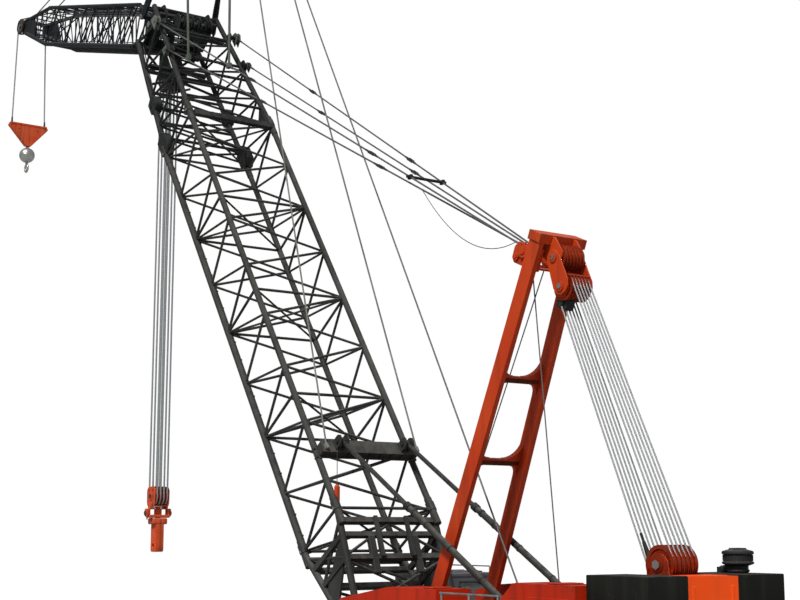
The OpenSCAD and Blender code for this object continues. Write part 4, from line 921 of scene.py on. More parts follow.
def buildCounterweight():
    # cast slabs with bevelled edges stand for the two plain blocks
    slabs, lugs = bmesh.new(), bmesh.new()
    layers = tail["layers"]
    step = (tail["high"] - tail["low"]) / layers
    for ya, yb in tail["stacks"]:
        for i in range(layers):
            z = tail["low"] + i * step
            top = z + step + (0.01 if i < layers - 1 else -0.02)
            addBlock(slabs, (tail["rear"], ya, z + 0.004), (tail["front"], yb, z + step - 0.004),
                     soft=0.016, steps=2)
            addBlock(slabs, (tail["rear"] + 0.05, ya + 0.05, z - 0.01),
                     (tail["front"] - 0.05, yb - 0.05, top))
        outer, out = (yb, 1) if ya > 0 else (ya, -1)
        for x in (tail["rear"] + 0.3, tail["front"] - 0.35):
            for i in range(layers - 1):
                z = tail["low"] + (i + 0.5) * step
                addPin(lugs, x, z, outer - out * 0.01, outer + out * 0.045, 0.045, 16)
                addPin(lugs, x, z, outer + out * 0.04, outer + out * 0.052, 0.062, 16)
    finishPiece(slabs, "tailSlabs", "tailCharcoal", replaces=("counterweight_blocks",))
    finishPiece(lugs, "tailLugs", "wheelSteel")
    # ribs and a bolted plate on the rear face of the centre weight, and its lid
    bm = bmesh.new()
    for y in (-0.3, 0.5):
        addBlock(bm, (tail["rear"], y - 0.03, 1.5), (tail["rear"] + 0.02, y + 0.03, 3.6), soft=0.006)
    addBlock(bm, (tail["rear"], -0.2, 1.9), (tail["rear"] + 0.02, 0.4, 2.5), soft=0.01)
    addBlock(bm, (tail["rear"] + 0.1, -0.3, 3.728), (tail["rear"] + 0.5, 0.5, 3.742), soft=0.006)
    finishPiece(bm, "centreWeightFittings", "tailOrange")


def buildAirCleaner():
    at = Vector((boomFoot.x - 6.7, -1.15, 3.7503))
    bm = bmesh.new()
    stamp(bm, lathe([(0.0, 0.0), (0.15, 0.0), (0.165, 0.012), (0.17, 0.03), (0.155, 0.05), (0.155, 0.10),
                     (0.225, 0.125),
                     (0.24, 0.135), (0.24, 0.155), (0.215, 0.17), (0.215, 0.265), (0.24, 0.28), (0.24, 0.30),
                     (0.228, 0.322), (0.14, 0.345), (0.13, 0.352), (0.13, 0.366), (0.0, 0.37)]),
          Matrix.Translation(at))
    stampWheel(bm, blockShape((0.212, -0.006, 0.172), (0.228, 0.006, 0.262)), at, 24, axis="Z")
    stampRing(bm, boltShape(0.012, 0.012), at + Vector((0, 0, 0.025)), 0.162, 8)
    addRod(bm, at + Vector((0.1, 0, 0.06)), at + Vector((0.33, 0, 0.03)), 0.07, 20)
    addRod(bm, at + Vector((0.33, 0, 0.08)), at + Vector((0.33, 0, -0.02)), 0.075, 20)
    finishPiece(bm, "airCleaner", "headBlack", replaces=("air_cleaner",))


gantry = {"shaft": (-5.1, 0, 3.88), "radius": 0.29, "count": 6, "pitch": 0.09, "seat": 3.54}


def buildGantry():
    centre = Vector(gantry["shaft"])
    pitch = gantry["pitch"]
    x, z = centre.x, centre.z
    shape = sheaveShape(gantry["radius"], pitch * 0.8, 0.04, 0.055)
    bm = bmesh.new()
    for i in range(gantry["count"]):
        stamp(bm, shape, across(centre + Vector((0, (i - 2.5) * pitch, 0))))
    finishPiece(bm, "gantrySheaves", "wornOrange", replaces=("gantry_sheaves",))
    bm, shaft = bmesh.new(), bmesh.new()
    half = 2.86 * pitch + 0.022
    base = gantry["seat"] + 0.001
    cheek = [(0.26, base), (0.2, z + 0.06), (0.12, z + 0.14), (0.09, z + 0.16)]
    outline = [(x + dx, q) for dx, q in cheek] + [(x - dx, q) for dx, q in reversed(cheek)]
    for s in sides:
        addPlate(bm, outline, s * half, 0.012, soft=0.004)
        addBlock(bm, (x - 0.3, s * half - 0.05, base), (x + 0.3, s * (half + 0.07), base + 0.029), soft=0.005)
        for q in (-0.18, 0.18):
            addBlock(bm, (x + q - 0.012, s * (half + 0.01), base + 0.019),
                     (x + q + 0.012, s * (half + 0.055), z - 0.05))
        addPin(bm, x, z, s * (half + 0.01), s * (half + 0.03), 0.11, 24)
        # tie rods that keep the ropes in their grooves
        addAxle(bm, x + s * 0.24, z - 0.21, half, 0.012, 8)
        addPin(shaft, x, z, s * (half + 0.05), s * (half + 0.065), 0.075, 6)
    finishPiece(bm, "gantryCheeks", "wornOrange")
    addAxle(shaft, x, z, half + 0.05, 0.055, 32)
    finishPiece(shaft, "gantryShaft", "machinedSteel")


drum = {"at": (-0.76, -1.9, -3.25), "z": 2.32, "turns": 30, "wound": 0.94, "floor": 1.801}


def buildDrums():
    # drums wound with rope, on bearing stands
    barrel = lathe(mirrored([(0.0, -0.5), (0.25, -0.5)]))
    flange = lathe(mirrored([(0.07, -0.02), (0.40, -0.02), (0.415, -0.028), (0.43, -0.02)]), 64, closed=True)
    pitch = drum["wound"] / drum["turns"]
    turns = [math.radians(q) for q in (10, 60, 120, 170)]
    coils = [(0.272 + pitch / 2 * math.sin(q),
              (i + 0.5) * pitch - drum["wound"] / 2 - pitch / 2 * math.cos(q))
             for i in range(drum["turns"]) for q in turns]
    wound = lathe([(0.24, -0.475)] + coils + [(0.24, 0.475)], 40, closed=True)
    ropes, body, stands = bmesh.new(), bmesh.new(), bmesh.new()
    bolt = boltShape(0.016, 0.016)
    for x in drum["at"]:
        centre = Vector((x, 0, drum["z"]))
        stamp(ropes, wound, across(centre))
        stamp(body, barrel, across(centre))
        foot = [(x - 0.16, drum["floor"]), (x + 0.16, drum["floor"]), (x + 0.13, 2.36), (x + 0.07, 2.44),
                (x - 0.07, 2.44),
                (x - 0.13, 2.36)]
        for s in sides:
            stamp(body, flange, across((x, s * 0.5, drum["z"])))
            stampWheel(body, bolt, centre, 12, spot(0, s * 0.52, 0.3) @ outward(s))
            addPlate(stands, foot, s * 0.635, 0.035, soft=0.006)
            addBlock(stands, (x - 0.22, s * 0.56, drum["floor"]), (x + 0.22, s * 0.71, 1.83), soft=0.005)
            addPin(stands, x, drum["z"], s * 0.66, s * 0.69, 0.11, 24)
        addAxle(body, x, drum["z"], 0.65, 0.07, 32)
    layer = ropes.verts.layers.float_vector.new("lay")
    for vert in ropes.verts:
        vert[layer] = (1, 0, vert.co.y * 30)
    finishPiece(ropes, "drumRope", "ropeDark")
    finishPiece(body, "drums", "wheelSteel", replaces=("hoist_drums",))
    finishPiece(stands, "drumStands", "craneOrange")


buildHouseFittings()
buildDeckFittings()
buildCounterweight()
buildAirCleaner()
buildGantry()
buildDrums()
print("deck and houses done")

# Cab
cab = {"low": (1.95, -2.3, 1.6), "high": (3.95, -1.3, 3.55), "sill": 2.42, "lintel": 3.38, "skirt": 2.3}


def windowFrame(bm, axis, out, face, across, up, wide=0.035):
    # a seal round an opening in the wall that faces along one axis
    (left, right), (low, high) = across, up
    bars = [(left - wide, right + wide, z, z + wide) for z in (low - wide, high)]
    bars += [(q, q + wide, low - 0.002, high + 0.002) for q in (left - wide, right)]
    near, far = face - out * 0.004, face + out * 0.014
    for q0, q1, z0, z1 in bars:
        ends = ((near, q0, z0), (far, q1, z1)) if axis == "x" else ((q0, near, z0), (q1, far, z1))
        addBlock(bm, *ends, soft=0.005)


def buildCab():
    (x0, y0, z0), (x1, y1, z1) = cab["low"], cab["high"]
    sill, lintel, skirt = cab["sill"], cab["lintel"], cab["skirt"]
    seals = bmesh.new()
    windowFrame(seals, "x", 1, x1, (y0 + 0.09, y1 - 0.09), (sill - 0.3, lintel))
    windowFrame(seals, "x", -1, x0, (y0 + 0.14, y1 - 0.14), (sill, lintel))
    windowFrame(seals, "y", 1, y1, (x0 + 0.18, x1 - 0.16), (sill, lintel))
    windowFrame(seals, "y", -1, y0, (x0 + 1.2, x1 - 0.12), (sill, lintel))
    addBlock(seals, (x1 - 0.03, y0 + 0.45, sill - 0.3), (x1 - 0.01, y0 + 0.48, lintel))
    # wiper and mirror arms
    addPipe(seals, [(x1 + 0.02, y0 + 0.3, 2.18), (x1 + 0.035, y0 + 0.32, 2.3),
                    (x1 + 0.03, y0 + 0.62, 2.85)], 0.008)
    addBlock(seals, (x1 + 0.016, y0 + 0.6, 2.62), (x1 + 0.03, y0 + 0.63, 3.08), soft=0.004)
    for y, out in ((y0 + 0.02, -1), (y1 - 0.02, 1)):
        addPipe(seals, [(x1 - 0.05, y, 3.3), (x1 + 0.02, y + out * 0.06, 3.28),
                        (x1 + 0.03, y + out * 0.08, 2.95)], 0.012)
    finishPiece(seals, "cabSeals", "rubber")
    # roof edge and hatch with its ribs, then the lower panels
    body = bmesh.new()
    addBlock(body, (x0 - 0.015, y0 - 0.015, z1 - 0.06), (x1 + 0.03, y1 + 0.015, z1 + 0.02), soft=0.02,
             steps=2)
    addBlock(body, (x0 + 0.2, y0 + 0.15, z1 + 0.015), (x1 - 0.25, y1 - 0.15, z1 + 0.05), soft=0.02, steps=2)
    for x in (x0 + 0.3, x0 + 0.75, x0 + 1.2):
        addBlock(body, (x, y0 + 0.18, z1 + 0.045), (x + 0.03, y1 - 0.18, z1 + 0.062), soft=0.006)
    for low, high in (((x0 + 0.25, y1 - 0.004, z0 + 0.12), (x0 + 0.95, y1 + 0.012, skirt)),
                      ((x0 + 1.05, y1 - 0.004, z0 + 0.12), (x1 - 0.1, y1 + 0.012, skirt)),
                      ((x0 - 0.012, y0 + 0.15, z0 + 0.15), (x0 + 0.004, y1 - 0.15, skirt)),
                      ((x1 - 0.004, y0 + 0.12, z0 + 0.1), (x1 + 0.014, y1 - 0.12, 2.03))):
        addBlock(body, low, high, soft=0.008)
    finishPiece(body, "cabPanels", "cabGrey")
    # grab rails, roof rail and floodlights
    trim, lamps, shells = bmesh.new(), bmesh.new(), bmesh.new()
    for x in (x0 + 0.1, x0 + 1.16):
        addPipe(trim, [(x, y, z) for y, z in ((y0, 2.25), (y0 - 0.06, 2.26), (y0 - 0.06, 3.1), (y0, 3.11))],
                0.013)
    rail = ((x0 + 0.05, z1), (x0 + 0.05, z1 + 0.14), (x1 - 0.3, z1 + 0.14), (x1 - 0.3, z1))
    addPipe(trim, [(x, y0 + 0.1, z) for x, z in rail], 0.013)
    bowl = lathe([(0.0, -0.05), (0.05, -0.045), (0.075, 0.0), (0.08, 0.04), (0.072, 0.044), (0.066, 0.02),
                  (0.0, 0.018)], 24)
    lens = lathe([(0.0, 0.02), (0.06, 0.022), (0.06, 0.034), (0.03, 0.04), (0.0, 0.042)], 24)
    for y in (y0 + 0.2, y1 - 0.2):
        x = x1 - 0.06
        addRod(trim, (x, y, z1 + 0.01), (x, y, z1 + 0.07), 0.015, 10)
        for bm, shape in ((shells, bowl), (lamps, lens)):
            stamp(bm, shape, spot(x, y, z1 + 0.12) @ turned(math.pi / 2, "Y"))
    finishPiece(trim, "cabRails", "galvanised")
    # mirrors
    for y in (y0 - 0.1, y1 + 0.1):
        addBlock(shells, (x1 + 0.015, y - 0.09, 2.86), (x1 + 0.045, y + 0.09, 3.14), soft=0.012)
        addBlock(lamps, (x1 + 0.005, y - 0.075, 2.88), (x1 + 0.018, y + 0.075, 3.12), soft=0.004)
    finishPiece(shells, "lampShells", "rubber")
    finishPiece(lamps, "lampLenses", "paleLamp")
    # door skin, seal and handle ride with the door
    bm = bmesh.new()
    addBlock(bm, (x0 + 0.3, y0 - 0.012, z0 + 0.2), (x0 + 1.0, y0 + 0.004, 2.34), soft=0.008)
    finishPiece(bm, "cabDoorSkin", "cabGrey", "cab_door")
    bm = bmesh.new()
    windowFrame(bm, "y", -1, y0, (x0 + 0.31, x0 + 0.99), (sill, 3.29), wide=0.028)
    handle = ((0.32, y0, 2.2), (0.32, y0 - 0.045, 2.21), (0.42, y0 - 0.045, 2.21), (0.42, y0, 2.2))
    addPipe(bm, [(x0 + dx, y, z) for dx, y, z in handle], 0.012)
    finishPiece(bm, "cabDoorSeal", "rubber", "cab_door")


seat = {"at": (2.25, -1.8, 1.645), "fill": 0.6}


def buildSeat():
    # all measured from the seat's place on the cab floor
    onFloor = spot(*seat["at"])
    bm = bmesh.new()
    addBlock(bm, (0, -0.235, 0.325), (0.5, 0.235, 0.44), soft=0.045, steps=3)
    addBlock(bm, (-0.035, -0.22, 0.45), (0.085, 0.22, 0.98), soft=0.045, steps=3)
    for s in sides:
        addBlock(bm, (0.02, s * 0.19, 0.40), (0.46, s * 0.24, 0.465), soft=0.02, steps=2)
        addBlock(bm, (0.06, s * 0.15, 0.52), (0.11, s * 0.21, 0.93), soft=0.02, steps=2)
    for k in range(4):
        up, along = 0.53 + k * 0.1, 0.09 + k * 0.095
        addBlock(bm, (0.08, -0.13, up), (0.10, 0.13, up + 0.08), soft=0.012, steps=2)
        addBlock(bm, (along, -0.16, 0.43), (along + 0.08, 0.16, 0.455), soft=0.011, steps=2)
    cushions = finishPiece(bm, "seatCushions", "seatCloth", place=onFloor, replaces=("cab_seat",), crease=50)
    bm = bmesh.new()
    addBlock(bm, (0.06, -0.12, 0.001), (0.42, 0.12, 0.06), soft=0.01)
    addRod(bm, (0.24, 0, 0.05), (0.24, 0, 0.33), 0.055, 20)
    addBlock(bm, (0.07, -0.18, 0.29), (0.45, 0.18, 0.33), soft=0.008)
    # levers, pedals and the instrument stand
    for s in sides:
        addPipe(bm, [(0.575, s * 0.2, 0), (0.575, s * 0.2, 0.45), (0.56, s * 0.19, 0.7)], 0.012)
        addBall(bm, (0.56, s * 0.19, 0.71), 0.03)
        addBlock(bm, (0.05, s * 0.31, 0.42), (0.42, s * 0.42, 0.56), soft=0.02, steps=2)
        addRod(bm, (0.36, s * 0.365, 0.55), (0.38, s * 0.365, 0.72), 0.012, 10)
        addBall(bm, (0.38, s * 0.365, 0.74), 0.026)
    addBlock(bm, (1.3, -0.3, 0.001), (1.45, 0.3, 0.55), soft=0.02, steps=2)
    addBlock(bm, (1.22, -0.26, 0.55), (1.4, 0.26, 0.72), soft=0.03, steps=2)
    for y in (-0.14, 0, 0.14):
        addBlock(bm, (0.85, y - 0.045, 0.06), (0.99, y + 0.045, 0.075), soft=0.005)
        addRod(bm, (0.95, y, 0), (0.92, y, 0.07), 0.01, 8)
    finishPiece(bm, "cabControls", "rubber", place=onFloor)


buildCab()
buildSeat()
print("cab done")


# Boom
def between(low, high, share):
    return low + (high - low) * share


def boomSection(d):
    # width and depth of the lattice at a distance from the foot
    straight = boom["butt"] + boom["bay"] * boom["bays"]
    if d <= boom["butt"]:
        return boom["width"], boom["depth"] * d / boom["butt"]
    share = max(d - straight, 0) / (boom["length"] - straight)
    return between(boom["width"], boom["headWidth"], share), between(boom["depth"], boom["headDepth"], share)


def crossRods(bm, start, end, radius):
    # a rod and its mirror image
    for s in sides:
        addRod(bm, (start[0], s * start[1], start[2]), (end[0], s * end[1], end[2]), radius, 8)


def sectionFrame(bm, d, wide, deep, radius):
    # bars round one section of a lattice
    for s in sides:
        addAxle(bm, d, s * deep / 2, wide / 2, radius, 8)
        addRod(bm, (d, s * wide / 2, -deep / 2), (d, s * wide / 2, deep / 2), radius, 8)


def buildBoomJoints():
    # pin connectors where the boom sections meet
    bm, pins = bmesh.new(), bmesh.new()
    for d in (boom["butt"], boom["butt"] + boom["bay"] * boom["bays"]):
        wide, deep = boomSection(d)
        for y in (-wide / 2, wide / 2):
            for n in (-deep / 2, deep / 2):
                for a, b, gap in ((-0.30, -0.02, 0.03), (0.02, 0.30, 0.058)):
                    addRod(bm, (d + a, y, n), (d + b, y, n), 0.076, 16)
                    low, high = d + a * 0.4, d + b * 0.4 + 0.09
                    for s in sides:
                        addPlate(bm, [(low, n - 0.055), (high, n - 0.055), (high, n + 0.055),
                                      (low, n + 0.055)],
                                 y + s * gap, 0.012)
                addPin(pins, d + 0.04, n, y - 0.095, y + 0.095, 0.032, 16)
    finishPiece(bm, "boomConnectors", "boomPaint", **onBoom)
    finishPiece(pins, "boomConnectorPins", "machinedSteel", **onBoom)


def buildButt():
    bm = bmesh.new()
    wall, d = boom["width"] / 2, boom["frameAt"]
    half = boomSection(d)[1] / 2
    for s in sides:
        addPlate(bm, [(0.05, -0.12), (0.9, -0.30), (1.0, -0.2), (0.45, 0.0), (1.0, 0.2), (0.9, 0.30),
                      (0.05, 0.12)],
                 s * wall, 0.012)
        # cross bracing of the back and the belly
        for start, end, reach in ((0.9, 1.85, -wall), (1.95, 2.55, 0)):
            crossRods(bm, (start, wall, s * boomSection(start)[1] / 2),
                      (end, reach, s * boomSection(end)[1] / 2), 0.03)
        # heavy frame across the butt
        addBox(bm, (d, 0, s * half), (0.055, wall, 0.05), soft=0.008)
        addBox(bm, (d, s * wall, 0), (0.055, 0.05, half), soft=0.008)
        addPlate(bm, [(1.3, -0.30), (1.75, -0.40), (d, half - 0.12), (2.28, half), (2.0, half - 0.1),
                      (1.45, -0.1)],
                 s * wall, 0.02)
        addPlate(bm, [(1.62, 0.36), (2.28, 0.55), (2.28, 0.66), (1.58, 0.46)], s * 0.5, 0.07, soft=0.01)
        addRod(bm, (1.95, s * wall, 0.42), (2.6, s * wall, -0.6), 0.032, 8)
        addRod(bm, (2.6, s * wall, 0.62), (1.95, s * wall, -0.42), 0.032, 8)
    finishPiece(bm, "buttBracing", "boomPaint", **onBoom)


def buildBoomDiaphragms():
    # diagonal braces across the section at the ends of each insert
    bm = bmesh.new()
    for d in (2.86, 5.64, 8.48, 11.32, 14.1):
        wide, deep = boomSection(d)
        crossRods(bm, (d, -wide / 2, -deep / 2), (d, wide / 2, deep / 2), 0.024)
        sectionFrame(bm, d, wide, deep, 0.03)
    finishPiece(bm, "boomDiaphragms", "boomPaint", **onBoom)


def buildBoomFittings():
    # power cable clipped along one chord
    bm = bmesh.new()
    addPipe(bm, [(2.9, 1.02, -0.70), (8.0, 1.02, -0.70), (14.1, 1.02, -0.70), (16.0, 0.94, -0.63),
                 (18.2, 0.80, -0.52)], 0.014)
    for k in range(22):
        d = 3.2 + k * 0.5
        addBlock(bm, (d, 1.0, -0.72), (d + 0.03, 1.1, -0.68))
    finishPiece(bm, "boomCable", "rubber", **onBoom)


head = {"falls": (17.56, -1.09), "radius": 0.24, "pitch": 0.09, "count": 4, "guide": (-0.55, 0.72),
        "jibGuide": (-0.15, -0.16)}
headFrame = boomFrame @ spot(boom["length"], 0, 0)
onHead = {"body": "boom", "place": headFrame}
fallLanes = [(i - 1.5) * head["pitch"] for i in range(head["count"])]
pendant = {"upper": (17.505, 0.754), "lower": (16.409, 0.760), "anchorY": 1.12, "yoke": (7.477, -0.367),
           "upperY": 0.129, "lowerY": 0.047}


def buildHeadSheaves():
    # sheaves of the main falls
    shape = sheaveShape(head["radius"], head["pitch"] * 0.8, 0.04, 0.06)
    bm = bmesh.new()
    for y in fallLanes:
        stamp(bm, shape, across((head["falls"][0], y, head["falls"][1])))
    finishPiece(bm, "headSheaves", "wheelSteel", replaces=("head_sheaves",), **onBoom)
    # guide sheaves on the back of the head and at the jib foot
    bm, shafts = bmesh.new(), bmesh.new()
    guide = sheaveShape(0.20, 0.06, 0.03, 0.05)
    for key, lanes, half in (("guide", (-0.30, -0.10, 0.10, 0.30), 0.45), ("jibGuide", (-0.18, 0.18), 0.6)):
        d, n = head[key]
        for y in lanes:
            stamp(bm, guide, across((d, y, n)))
        addAxle(shafts, d, n, half, 0.045, 24)
    finishPiece(bm, "headGuides", "headBlack", **onHead)
    addAxle(shafts, head["falls"][0] - boom["length"], head["falls"][1], 0.22, 0.06, 24)
    for s in sides:
        addPin(shafts, 0.34, -0.175, s * 0.64, s * 0.675, 0.08, 6)
        addPin(shafts, 0.15, 0.12, s * 1.0, s * 1.06, 0.075, 6)
    finishPiece(shafts, "headShafts", "machinedSteel", **onHead)


def buildHeadPlates():
    # plates, guards and stiffeners, measured from the end of the boom
    bm = bmesh.new()
    for s in sides:
        addPlate(bm, [(-0.85, 0.52), (-0.25, 0.52), (-0.38, 0.80), (-0.48, 0.86), (-0.62, 0.86),
                      (-0.72, 0.80)],
                 s * 0.44, 0.012, soft=0.004)
        for d, n in ((-0.30, 0.0), (0.05, -0.3), (0.02, 0.28)):
            addBox(bm, (d, s * 0.67, n), (0.012, 0.07, 0.25), soft=0.003)
        addBlock(bm, (-0.35, s * 0.58, -0.012), (0.5, s * 0.665, 0.012), soft=0.003)
        # rope guard over the falls
        addPlate(bm, [(-1.12, -1.0), (-0.98, -1.26), (-0.60, -1.30), (-0.42, -1.16), (-0.47, -1.12),
                      (-0.63, -1.25),
                      (-0.94, -1.21), (-1.07, -0.98)], s * 0.165, 0.01)
        # braces from the chords to the falls cheeks
        addRod(bm, (-1.15, s * 0.2, -0.72), (-1.6, s * 0.9, -0.62), 0.035, 10)
        addRod(bm, (-0.35, s * 0.2, -1.0), (0.02, s * 0.82, -0.60), 0.035, 10)
        addRod(bm, (-0.95, s * 0.2, -1.2), (-1.5, s * 0.2, -0.62), 0.03, 10)
    for d in (-0.9, -0.2):
        for n in (0.55, -0.57):
            addBox(bm, (d, 0, n), (0.05, 0.80, 0.05), soft=0.01)
    addBlock(bm, (-0.02, -0.75, -0.60), (0.02, 0.75, -0.34), soft=0.006)
    finishPiece(bm, "headPlates", "headBlack", **onHead)


def buildHeadGuards():
    # rope guide boxes on the belly chords, a platform on the back and crossbars
    bm = bmesh.new()
    for s in sides:
        for d, long, deep in ((-3.85, 0.36, 0.24), (-2.4, 0.26, 0.2)):
            y = s * boomSection(boom["length"] + d)[0] / 2
            addPlate(bm, [(d - long, -0.62), (d - long * 0.7, -0.62 - deep), (d + long * 0.6, -0.62 - deep),
                          (d + long, -0.58), (d + long * 0.5, -0.45), (d - long * 0.6, -0.45)], y - 0.035,
                     0.095, soft=0.01)
            addPin(bm, d, -0.70, y - 0.16, y + 0.08, 0.045, 16)
        addPlate(bm, [(-4.3, -0.70), (-3.9, -0.40), (-3.5, -0.62), (-3.9, -0.72)], s * 1.0, 0.015)
        addPlate(bm, [(-4.4, 0.72), (-3.9, 0.36), (-3.5, 0.68), (-3.9, 0.72)], s * 1.0, 0.015)
    addBlock(bm, (-4.34, -1.1, 0.70), (-4.15, 1.0, 0.79), soft=0.01)
    for k in range(11):
        y = -1.0 + k * 0.19
        addBlock(bm, (-4.33, y - 0.015, 0.70), (-4.16, y + 0.015, 0.802), soft=0.004)
    for k in range(4):
        d = -1.9 - k * 0.55
        wide, deep = boomSection(boom["length"] + d)
        for s in sides:
            addAxle(bm, d, s * deep / 2, wide / 2, 0.036, 8)
        behind = boomSection(boom["length"] + d - 0.5)[0]
        addRod(bm, (d, wide / 2, -deep / 2), (d - 0.5, -behind / 2, -deep / 2), 0.028, 8)
    finishPiece(bm, "headGuards", "headBlack", **onHead)
    # blocks that take the pendants on both sides
    bm = bmesh.new()
    for s in sides:
        y = s * pendant["anchorY"]
        for (d, n), q in ((pendant["upper"], 1.15), (pendant["lower"], 0.62)):
            for e in sides:
                addPlate(bm, [(d - 0.16 * q, n - 0.14), (d + 0.18 * q, n - 0.14),
                              (d + 0.10 * q, n + 0.08 * q),
                              (d, n + 0.11 * q), (d - 0.10 * q, n + 0.06 * q)], y + e * 0.045, 0.011,
                         soft=0.003)
            addPin(bm, d, n, y - 0.075, y + 0.075, 0.045, 16)
    finishPiece(bm, "pendantBlocks", "blockGrey", **onBoom)


def linkShape():
    # two sockets with a pair of link plates and two pins between them
    bm = bmesh.new()
    for s in sides:
        addRod(bm, (s * 0.145 - 0.075, 0, 0), (s * 0.145 + 0.075, 0, 0), 0.023 + s * 0.003, 12,
               0.023 - s * 0.003)
        addPlate(bm, [(-0.10, -0.026), (-0.115, 0.0), (-0.10, 0.026), (0.10, 0.026), (0.115, 0.0),
                      (0.10, -0.026)],
                 s * 0.026, 0.006)
        addAxle(bm, s * 0.075, 0, 0.04, 0.015, 10)
    return takeShape(bm)


def pendantEnds(name, side):
    anchor, yoke = pendant[name], pendant["yoke"]
    finish = mastFrame @ Vector((yoke[0], 0, yoke[1])) + Vector((0, side * pendant[name + "Y"], 0))
    return boomFrame @ Vector((anchor[0], side * pendant["anchorY"], anchor[1])), finish


def buildPendants():
    # wire ropes with a socket at each end and joining links between lengths
    link = linkShape()
    for name in ("upper", "lower"):
        body = "pendants_" + name
        cable, ends = bmesh.new(), bmesh.new()
        for s in sides:
            start, finish = pendantEnds(name, s)
            reach = (finish - start).length
            way = (finish - start).normalized()
            lie = way.to_track_quat("X", "Z").to_matrix().to_4x4()
            addPipe(cable, [start + way * 0.3, start + way * 5, start + way * 10, finish - way * 0.25], 0.018)
            for end, half, radius in ((start, 0.029, 0.083), (finish, 0.024, 0.058)):
                addPin(ends, end.x, end.z, end.y - half, end.y + half, radius, 28)
            addRod(ends, start + way * 0.06, start + way * 0.42, 0.026, 14, endRadius=0.02)
            addRod(ends, finish - way * 0.40, finish - way * 0.04, 0.02, 14, endRadius=0.026)
            for share in (0.33, 0.66):
                stamp(ends, link, Matrix.Translation(start + way * reach * share) @ lie)
        finishPiece(cable, "pendantRopes_" + name, "ropeDark", body, replaces=(body,), crease=60)
        finishPiece(ends, "pendantSockets_" + name, "darkSteel", body)
    # spreader that keeps the upper pair apart
    bm = bmesh.new()
    ends = [start.lerp(finish, 0.75) for start, finish in (pendantEnds("upper", s) for s in sides)]
    addRod(bm, ends[0] - Vector((0, 0.08, 0)), ends[1] + Vector((0, 0.08, 0)), 0.03, 12)
    for end in ends:
        addBox(bm, end, (0.06, 0.03, 0.045), soft=0.01)
    finishPiece(bm, "pendantSpreader", "headBlack", "pendants_upper")


beam = {"d": 4.115, "low": 0.7793, "high": 0.9793, "half": 1.13, "pin": 1.1493, "stopY": 0.76,
        "stopFoot": (-3.93, 0.9)}


def buildCrossbeam():
    # flanges, end plates and stiffeners of the box beam, and pins of the backstops
    bm, pins = bmesh.new(), bmesh.new()
    d, low, high = beam["d"], beam["low"], beam["high"]
    for z0, z1 in ((high - 0.006, high + 0.012), (low, low + 0.016)):
        addBlock(bm, (d - 0.15, -beam["half"], z0), (d + 0.15, beam["half"], z1), soft=0.004)
    for s in sides:
        for k in range(9):
            y = -1.0 + k * 0.25
            addBlock(bm, (d + s * 0.108, y - 0.008, low + 0.01), (d + s * 0.135, y + 0.008, high - 0.005))
        y = s * beam["stopY"]
        addPin(pins, d, beam["pin"], y - 0.11, y + 0.11, 0.04, 20)
        for e in sides:
            addBox(bm, (d + e * 0.1, s * boom["width"] / 2, low - 0.045), (0.02, 0.07, 0.055))
            addPin(pins, d, beam["pin"], y + e * 0.105, y + e * 0.125, 0.048, 6)
    finishPiece(bm, "crossbeamFlanges", "boomPaint", **onBoom)
    finishPiece(pins, "backstopPins", "darkSteel", **onBoom)
    bm = bmesh.new()
    foot = boomFoot + Vector((beam["stopFoot"][0], 0, beam["stopFoot"][1]))
    foot.y = 0
    way = (boomFrame @ Vector((d, 0, beam["pin"])) - foot).normalized()
    for s in sides:
        a = foot + Vector((0, s * beam["stopY"], 0))
        for run, radius, long in ((3.60, 0.078, 0.12), (3.42, 0.07, 0.05), (0.2, 0.075, 0.08),
                                  (1.2, 0.068, 0.03),
                                  (2.2, 0.068, 0.03), (3.0, 0.068, 0.03)):
            addRod(bm, a + way * run, a + way * (run + long), radius, 24)
    finishPiece(bm, "backstopGlands", "headBlack", "backstop_tubes")


buildBoomJoints()
buildButt()
buildBoomDiaphragms()
buildBoomFittings()
buildHeadSheaves()
buildHeadPlates()
buildHeadGuards()
buildPendants()
buildCrossbeam()
print("boom done")


# Jib
def jibTaper(share):
    # distance from the foot, width and depth on the way from the straight part to the tip
    return (between(jib["taper"], jib["length"], share), between(jib["width"], jib["tipWide"], share),
            between(jib["depth"], jib["tipDeep"], share))


